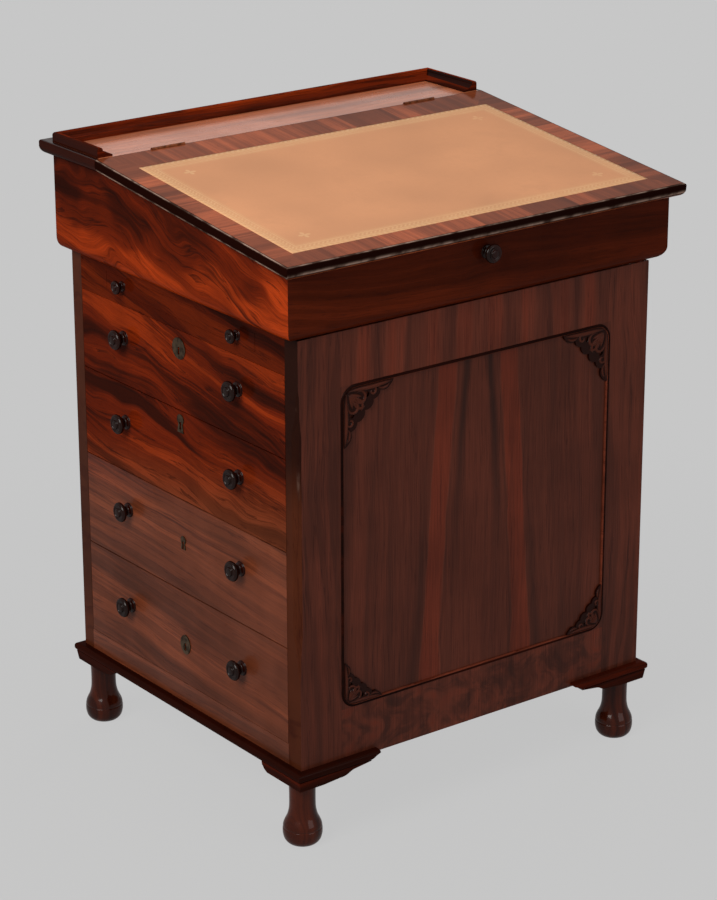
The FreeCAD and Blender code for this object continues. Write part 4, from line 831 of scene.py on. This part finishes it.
class DAVENPORT_OT_brass(bpy.types.Operator):
    """Gives locks, escutcheons and hinges their brass"""

    bl_idname = "davenport.brass"
    bl_label = "Brass"

    def execute(self, context):
        c = colours()
        brass = brass_material("aged_brass", c.brass)
        for node in ("false_escutcheons", *(f"{drawer}_lock" for drawer in DRAWERS)):
            dress(node, brass)
        dull = brass_material("hinge_brass", blend_colour(c.brass, darker(c.pale_brown, 2.0), 0.6))
        for node in ("hinge_leaves_shelf", "hinge_leaves_lid", "hinge_pins"):
            dress(node, dull)
        return {"FINISHED"}


# ---- turned work

def turned_material(name, ground, streak, coat, specular):
    """Turned hardwood: fine grain along its length and a bright polish."""
    material, w, shader = new_material(name)
    tone, _, fibre, pore = timber(w, grain_vector(w, "Z"), 41.0, 0.02, 0.3, 90.0)
    colour = w.mix(tone, ground, streak)
    polish(w, shader, w.span(tone, 0.0, 1.0, 0.22, 0.34), coat, specular, 0.05)
    w.fill(shader, Base_Color=w.mix(pore * 0.3, colour, darker(ground, 0.4)),
           Normal=w.bump(fibre * 0.3, 0.2, 0.1 * MM))
    return material


def knob_section(radius, reach):
    """Section of a knob: collar, waist, swelling head, a sunk ring and a small boss in its middle."""
    pairs = [
        (0.0, 0.0), (0.70, 0.0), (0.72, 0.04), (0.70, 0.11), (0.60, 0.15), (0.47, 0.22), (0.43, 0.33),
        (0.50, 0.44), (0.74, 0.52), (0.95, 0.62), (1.0, 0.72), (0.96, 0.82), (0.84, 0.9),
        (0.70, 0.905), (0.62, 0.86), (0.52, 0.845), (0.44, 0.875), (0.40, 0.95), (0.28, 0.99), (0.0, 1.0),
    ]
    line = smooth_line(pairs, 5)
    line[:, 0] = np.maximum(line[:, 0], 0.0)
    return line * (radius, reach)


def foot_section(belly, height):
    """Section of a club foot: flat base, round belly with an incised ring, and a waisted neck that flares."""
    low = [(0.0, 0.0), (0.56, 0.0), (0.76, 0.018), (0.92, 0.075), (0.99, 0.15), (1.0, 0.2), (0.995, 0.24)]
    ring = [(0.975, 0.248), (0.962, 0.257), (0.975, 0.266)]
    high = [(0.985, 0.274), (0.95, 0.32), (0.87, 0.375), (0.78, 0.43), (0.71, 0.5), (0.67, 0.58),
            (0.66, 0.7), (0.665, 0.84), (0.685, 0.93), (0.735, 0.985), (0.74, 1.0), (0.0, 1.0)]
    line = np.vstack([smooth_line(low, 5), ring, smooth_line(high, 5)])
    # the smoothing may pass the axis or an end by a hair
    line[:, 0] = np.maximum(line[:, 0], 0.0)
    line[:, 1] = np.clip(line[:, 1], 0.0, 1.0)
    return line * (belly, height)


def turn_solids(node, section, index, sign, face, body, slot, material):
    """Turns each solid of a node: index and sign give its axis, and face is where it starts."""
    steps = bpy.context.scene.davenport_sizes.turning_steps
    shapes = []
    for low, high in node_solids(node):
        radius = (high - low)[0 if index == 2 else 2] / 2
        reach = abs((high if sign > 0 else low)[index] - face)
        place = (low + high) / 2
        place[index] = face
        shapes.append(lathe(section(radius, reach), np.eye(3)[index] * sign, place, steps))
    add_mesh(f"{node}_turned", collect(shapes), body, slot, material, node)


class DAVENPORT_OT_knobs(bpy.types.Operator):
    """Turns the drawer, slide and box knobs and those of the false drawers"""

    bl_idname = "davenport.knobs"
    bl_label = "Turned knobs"

    def execute(self, context):
        c = colours()
        material = turned_material("dark_knob_wood", c.knob, darker(c.shade, 0.6), 0.3, 0.0)
        left = corners("drawer_1_front")[0][0]
        right = corners("false_fronts")[1][0]
        front = corners("box_front")[0][1]
        # each node of knobs: index and sign of its axis, the face behind it, its body
        groups = {f"{drawer}_knobs": (0, -1, left, drawer) for drawer in DRAWERS}
        groups["slide_knobs"] = (0, -1, left, "writing_slide")
        groups["false_knobs"] = (0, 1, right, "pedestal")
        groups["box_knob"] = (1, -1, front, "desk_box")
        for node, (index, sign, face, body) in groups.items():
            turn_solids(node, knob_section, index, sign, face, body, "dark_knobs", material)
        return {"FINISHED"}


class DAVENPORT_OT_feet(bpy.types.Operator):
    """Turns the four feet"""

    bl_idname = "davenport.feet"
    bl_label = "Turned feet"

    def execute(self, context):
        c = colours()
        streak = darker(blend_colour(c.flame, c.pale_brown, 0.5), 0.28)
        material = turned_material("foot_wood", darker(c.shade, 0.4), streak, 0.25, 0.03)
        turn_solids("feet", foot_section, 2, 1, 0.0, "pedestal", "rosewood", material)
        return {"FINISHED"}


# ---- writing leather

def leather_material():
    """Tan skiver: fine pebble, soft colour drift and a tooled border that follows its outline."""
    c = colours()
    material, w, shader = new_material("writing_leather")
    place = w.place()
    x, y = w.axes("XY", place)
    from_middle = y - (LEATHER_HIGH[1] + LEATHER_LOW[1]) / 2
    to_side = (LEATHER_HIGH[0] - LEATHER_LOW[0]) / 2 - abs(x)
    to_end = (LEATHER_HIGH[1] - LEATHER_LOW[1]) / 2 - abs(from_middle)
    inset = w.least(to_side, to_end)
    run = w.blend(w.math("LESS_THAN", to_side, to_end), x, from_middle)

    marks = 0.0
    for at, reach, strength in TOOLED_LINES:
        line = w.fall(abs(inset - at), reach * 0.4, reach)
        marks = w.most(marks, line * strength)
    for at, pitch, reach, slant, strength in TOOLED_CHAINS:
        phase = abs(w.math("FRACT", (run + inset * slant) / pitch) - 0.5)
        strokes = w.fall(phase, 0.16, 0.3) * w.fall(abs(inset - at), reach * 0.7, reach)
        marks = w.most(marks, strokes * strength)
    corner_x = to_side - FLOWER_PLACE[0]
    corner_y = to_end - FLOWER_PLACE[1]
    far = w.math("SQRT", corner_x * corner_x + corner_y * corner_y)
    petals = abs(w.math("COSINE", w.math("ARCTAN2", corner_y, corner_x) * 2.0)) * PETAL_REACH
    marks = w.most(marks, w.fall(far - petals, -0.001, 0.0012) * 0.8)
    gilt = marks * w.span(w.noise(place, 34.0, 3.0, 0.6), 0.25, 0.6, 0.35, 1.0)

    drift = w.span(w.noise(place, 7.0, 4.0, 0.6), 0.3, 0.7)
    cloud = w.span(w.noise(place, 28.0, 4.0, 0.65), 0.35, 0.75, 0.0, 0.3)
    colour = w.mix(drift, *tones(c.leather, 0.86, 1.06))
    colour = w.mix(cloud, colour, darker(c.leather, 0.72))
    colour = w.mix(w.span(inset, 0.0, 0.03, 0.25, 0.0), colour, darker(c.tooling, 0.95))
    cells = w.out("ShaderNodeTexVoronoi", Vector=place, Scale=620.0)
    height = cells * 0.5 + w.noise(place, 900.0) * 0.4 - marks * 1.2
    w.fill(shader, Base_Color=w.mix(gilt * 0.5, colour, c.tooling), Specular_IOR_Level=0.3,
           Roughness=w.span(gilt, 0.0, 1.0, 0.6, 0.42), Normal=w.bump(height, 0.3, 0.3 * MM))
    return material


class DAVENPORT_OT_leather(bpy.types.Operator):
    """Lays the writing leather: a thin sheet that dips slightly to its glued edge"""

    bl_idname = "davenport.leather"
    bl_label = "Writing leather"

    def execute(self, context):
        columns, rows = 120, 80
        recess = 1.2 * MM
        thickness = 1.1 * MM
        pad = 0.15 * MM
        dip = 0.35 * MM
        dip_reach = 4 * MM
        # taken off the lid's length in the slope, which sets the sheet's front edge 0.06 mm deeper
        settle = 0.7 * MM
        length = LEATHER_HIGH[1] - LEATHER_LOW[1]
        lid_length = LID_HIGH[1] - LID_LOW[1]
        slope = (LEATHER_HIGH[2] - LEATHER_LOW[2] - recess) / length * lid_length / (lid_length - settle)
        across = np.linspace(LEATHER_LOW[0], LEATHER_HIGH[0], columns)
        along = LEATHER_LOW[1] + np.linspace(0, 1, rows) * length
        grid_x, grid_y = np.meshgrid(across, along)
        edge = np.minimum(np.minimum(grid_x - LEATHER_LOW[0], LEATHER_HIGH[0] - grid_x),
                          np.minimum(grid_y - LEATHER_LOW[1], LEATHER_HIGH[1] - grid_y))
        slant = LEATHER_HIGH[2] - (LEATHER_HIGH[1] - grid_y) * slope
        grid_z = slant + pad - dip * np.exp(-edge / dip_reach)
        upper = np.stack([grid_x, grid_y, grid_z], axis=-1).reshape(-1, 3)
        sheet = closed_sheet(upper, upper - (0, 0, thickness), rows, columns)
        add_mesh("leather_skiver", sheet, "lid", "leather", leather_material(), "writing_leather")
        return {"FINISHED"}


# ---- carved frets

def carved_strip(path, widths, heights, samples=9, vein=0.18):
    """A carved band on the XZ face: its section is a half cosine with a shallow vein down the middle.

    The path runs in (x, z); widths and heights are given along it and die away at both ends.
    """
    ahead = np.gradient(path, axis=0)
    ahead /= np.maximum(np.linalg.norm(ahead, axis=1), 1e-9)[:, None]
    t = np.linspace(-1, 1, samples)
    section = np.cos(t * np.pi / 2) - vein * np.exp(-(t / 0.22) ** 2)
    x = path[:, :1] - ahead[:, 1:] * widths[:, None] * t
    z = path[:, 1:] + ahead[:, :1] * widths[:, None] * t
    top = np.stack([x, -heights[:, None] * section, z], axis=-1).reshape(-1, 3)
    return closed_sheet(top, top * (1, 0, 1), len(path), samples)


def swelling(count, most, start=0.12, end=0.05):
    """A width that swells from start to its full size and dies away."""
    t = np.linspace(0, 1, count)
    return most * (start * (1 - t) ** 3 + end * t ** 3 + np.sin(np.pi * t) ** 0.7)


def spiral(centre, outer, inner, start, turns, count=40):
    """Points of a spiral whose radius shrinks evenly from outer to inner."""
    t = np.linspace(0, 1, count)
    radius = outer + (inner - outer) * t
    angle = start + turns * 2 * np.pi * t
    return np.stack([centre[0] + radius * np.cos(angle), centre[1] + radius * np.sin(angle)], axis=1)


def fret_carving(leg, depth):
    """Leaf scrolls of one corner, in shares of its leg, from the inner corner of the bead."""
    branches = (
        (smooth_line([(0.08, 0.05), (0.3, 0.045), (0.55, 0.05), (0.8, 0.035), (0.98, 0.02)], 12), 0.045, 1.0),
        (spiral((0.33, 0.2), 0.13, 0.03, -2.4, 1.15), 0.036, 1.0),
        (spiral((0.58, 0.125), 0.085, 0.02, -2.6, 1.1), 0.028, 0.9),
        (smooth_line([(0.66, 0.06), (0.76, 0.11), (0.86, 0.1), (0.93, 0.05)], 8), 0.028, 0.8),
        (smooth_line([(0.12, 0.12), (0.24, 0.33), (0.36, 0.37), (0.43, 0.33)], 8), 0.032, 1.0),
    )
    bands = [*branches, *((points[:, ::-1], width, height) for points, width, height in branches)]
    for angle in np.linspace(0.28, np.pi / 2 - 0.28, 5):
        reach = np.linspace(0.0, 0.3 - 0.05 * abs(angle - np.pi / 4), 10)
        bands.append((0.1 + np.stack([reach * np.cos(angle), reach * np.sin(angle)], axis=1), 0.035, 1.05))
    return collect([carved_strip(points * leg, swelling(len(points), width * leg),
                                 swelling(len(points), height * depth, 0.2, 0.2))
                    for points, width, height in bands])


class DAVENPORT_OT_frets(bpy.types.Operator):
    """Carves the four corner frets over their pierced grounds"""

    bl_idname = "davenport.frets"
    bl_label = "Corner frets"

    def execute(self, context):
        material = carved_material()
        middle = (FIELD_LOW[2] + FIELD_HIGH[2]) / 2
        shapes = []
        for low, high in node_solids("corner_frets"):
            points, faces = fret_carving(high[0] - low[0], CARVING_DEPTH)
            right = low[0] > 0
            upper = low[2] > middle
            x = (high[0] - points[:, 0]) if right else (low[0] + points[:, 0])
            z = (high[2] - points[:, 2]) if upper else (low[2] + points[:, 2])
            if right == upper:
                faces = [face[::-1] for face in faces]
            shapes.append((np.stack([x, CARVING_BASE + points[:, 1], z], axis=1), faces))
        add_mesh("fret_carving", collect(shapes), "pedestal", "rosewood", material)
        dress("corner_frets", material)
        return {"FINISHED"}


# ---- stage

def floor_material():
    """Pale ground: lit near the desk so that it holds a shadow, and plain background further out."""
    c = colours()
    material = bpy.data.materials.new("pale_ground")
    w = emptied(material)
    x, y = w.axes("XY")
    radius = w.math("SQRT", x * x + y * y)
    lit = w.out("ShaderNodeBsdfDiffuse", Color=darker(c.ground, 0.95))
    plain = w.out("ShaderNodeEmission", Color=c.ground, Strength=1.0)
    share = w.seen_plainly() * w.span(radius, 0.25, SHADOW_REACH, 0.92, 1.0)
    w.ground("ShaderNodeOutputMaterial", share, lit, plain)
    return material


def add_lamp(name, place, size, power, tint):
    """A square soft lamp aimed at the desk."""
    data = bpy.data.lights.new(name, "AREA")
    data.shape = "SQUARE"
    data.size = size
    data.energy = power
    data.color = tint
    aim = (Vector(AIM) - Vector(place)).to_track_quat("-Z", "Y")
    add_object(name, data).matrix_world = Matrix.Translation(place) @ aim.to_matrix().to_4x4()


def add_camera(scene, focal_length):
    """The camera that the desk is seen from."""
    data = bpy.data.cameras.new("camera")
    data.lens = focal_length
    data.sensor_width = SENSOR_WIDTH
    camera = add_object("camera", data)
    turn = Vector(CAMERA_FORWARD).to_track_quat("-Z", "Y").to_matrix().to_4x4()
    camera.matrix_world = Matrix.Translation(CAMERA_PLACE) @ turn @ Matrix.Rotation(CAMERA_ROLL, 4, "Z")
    scene.camera = camera


def add_world(scene):
    """Plain pale background for the camera and a weak even light for everything else."""
    world = bpy.data.worlds.new("plain_world")
    scene.world = world
    w = emptied(world)
    ambient = w.out("ShaderNodeBackground", Color=(1.0, 1.0, 1.0), Strength=AMBIENT)
    plain = w.out("ShaderNodeBackground", Color=colours().ground, Strength=1.0)
    w.ground("ShaderNodeOutputWorld", w.seen_plainly(), ambient, plain)


def add_floor(steps=48):
    """A round floor under the desk."""
    rings = np.array(FLOOR_RINGS)[:, None]
    angle = np.linspace(0, 2 * np.pi, steps, endpoint=False)
    flat = np.zeros((len(rings), steps))
    points = np.stack([rings * np.cos(angle), rings * np.sin(angle), flat], axis=-1).reshape(-1, 3)
    mesh = bpy.data.meshes.new("floor")
    mesh.from_pydata(points.tolist(), [], grid_faces(len(rings), steps, closed=True)[:, ::-1].tolist())
    mesh.materials.append(floor_material())
    floor = add_object("floor", mesh)


class DAVENPORT_OT_stage(bpy.types.Operator):
    """Sets the camera, the lamps, the floor and the plain background"""

    bl_idname = "davenport.stage"
    bl_label = "Stage"

    def execute(self, context):
        scene = context.scene
        sizes = scene.davenport_sizes
        add_camera(scene, sizes.focal_length)
        for name, (place, size, power, tint) in LAMPS.items():
            add_lamp(name, place, size, getattr(sizes, power), tint)
        add_world(scene)
        add_floor()
        scene.view_settings.view_transform = "Standard"
        return {"FINISHED"}


# ---- panel and run

STEPS = (
    DAVENPORT_OT_stage,
    DAVENPORT_OT_veneers,
    DAVENPORT_OT_brass,
    DAVENPORT_OT_knobs,
    DAVENPORT_OT_feet,
    DAVENPORT_OT_leather,
    DAVENPORT_OT_frets,
)


class DAVENPORT_PT_panel(bpy.types.Panel):
    """Lists the steps that finish the desk"""

    bl_idname = "DAVENPORT_PT_panel"
    bl_label = "Davenport desk"
    bl_space_type = "VIEW_3D"
    bl_region_type = "UI"
    bl_category = "Davenport"

    def draw(self, context):
        layout = self.layout
        for name in DavenportSizes.__annotations__:
            layout.prop(context.scene.davenport_sizes, name)
        for name in DavenportColours.__annotations__:
            layout.prop(context.scene.davenport_colours, name)
        for step in STEPS:
            layout.operator(step.bl_idname)


CLASSES = (DavenportColours, DavenportSizes) + STEPS + (DAVENPORT_PT_panel,)


def register():
    """Registers the classes and their settings."""
    for item in CLASSES:
        bpy.utils.register_class(item)
    bpy.types.Scene.davenport_colours = PointerProperty(type=DavenportColours)
    bpy.types.Scene.davenport_sizes = PointerProperty(type=DavenportSizes)


def unregister():
    """Removes the settings and the classes."""
    del bpy.types.Scene.davenport_sizes
    del bpy.types.Scene.davenport_colours
    for item in reversed(CLASSES):
        bpy.utils.unregister_class(item)


def main():
    """Registers the add-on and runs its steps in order."""
    register()
    for step in STEPS:
        getattr(bpy.ops.davenport, step.bl_idname.split(".")[1])()


if __name__ == "__main__":
    main()
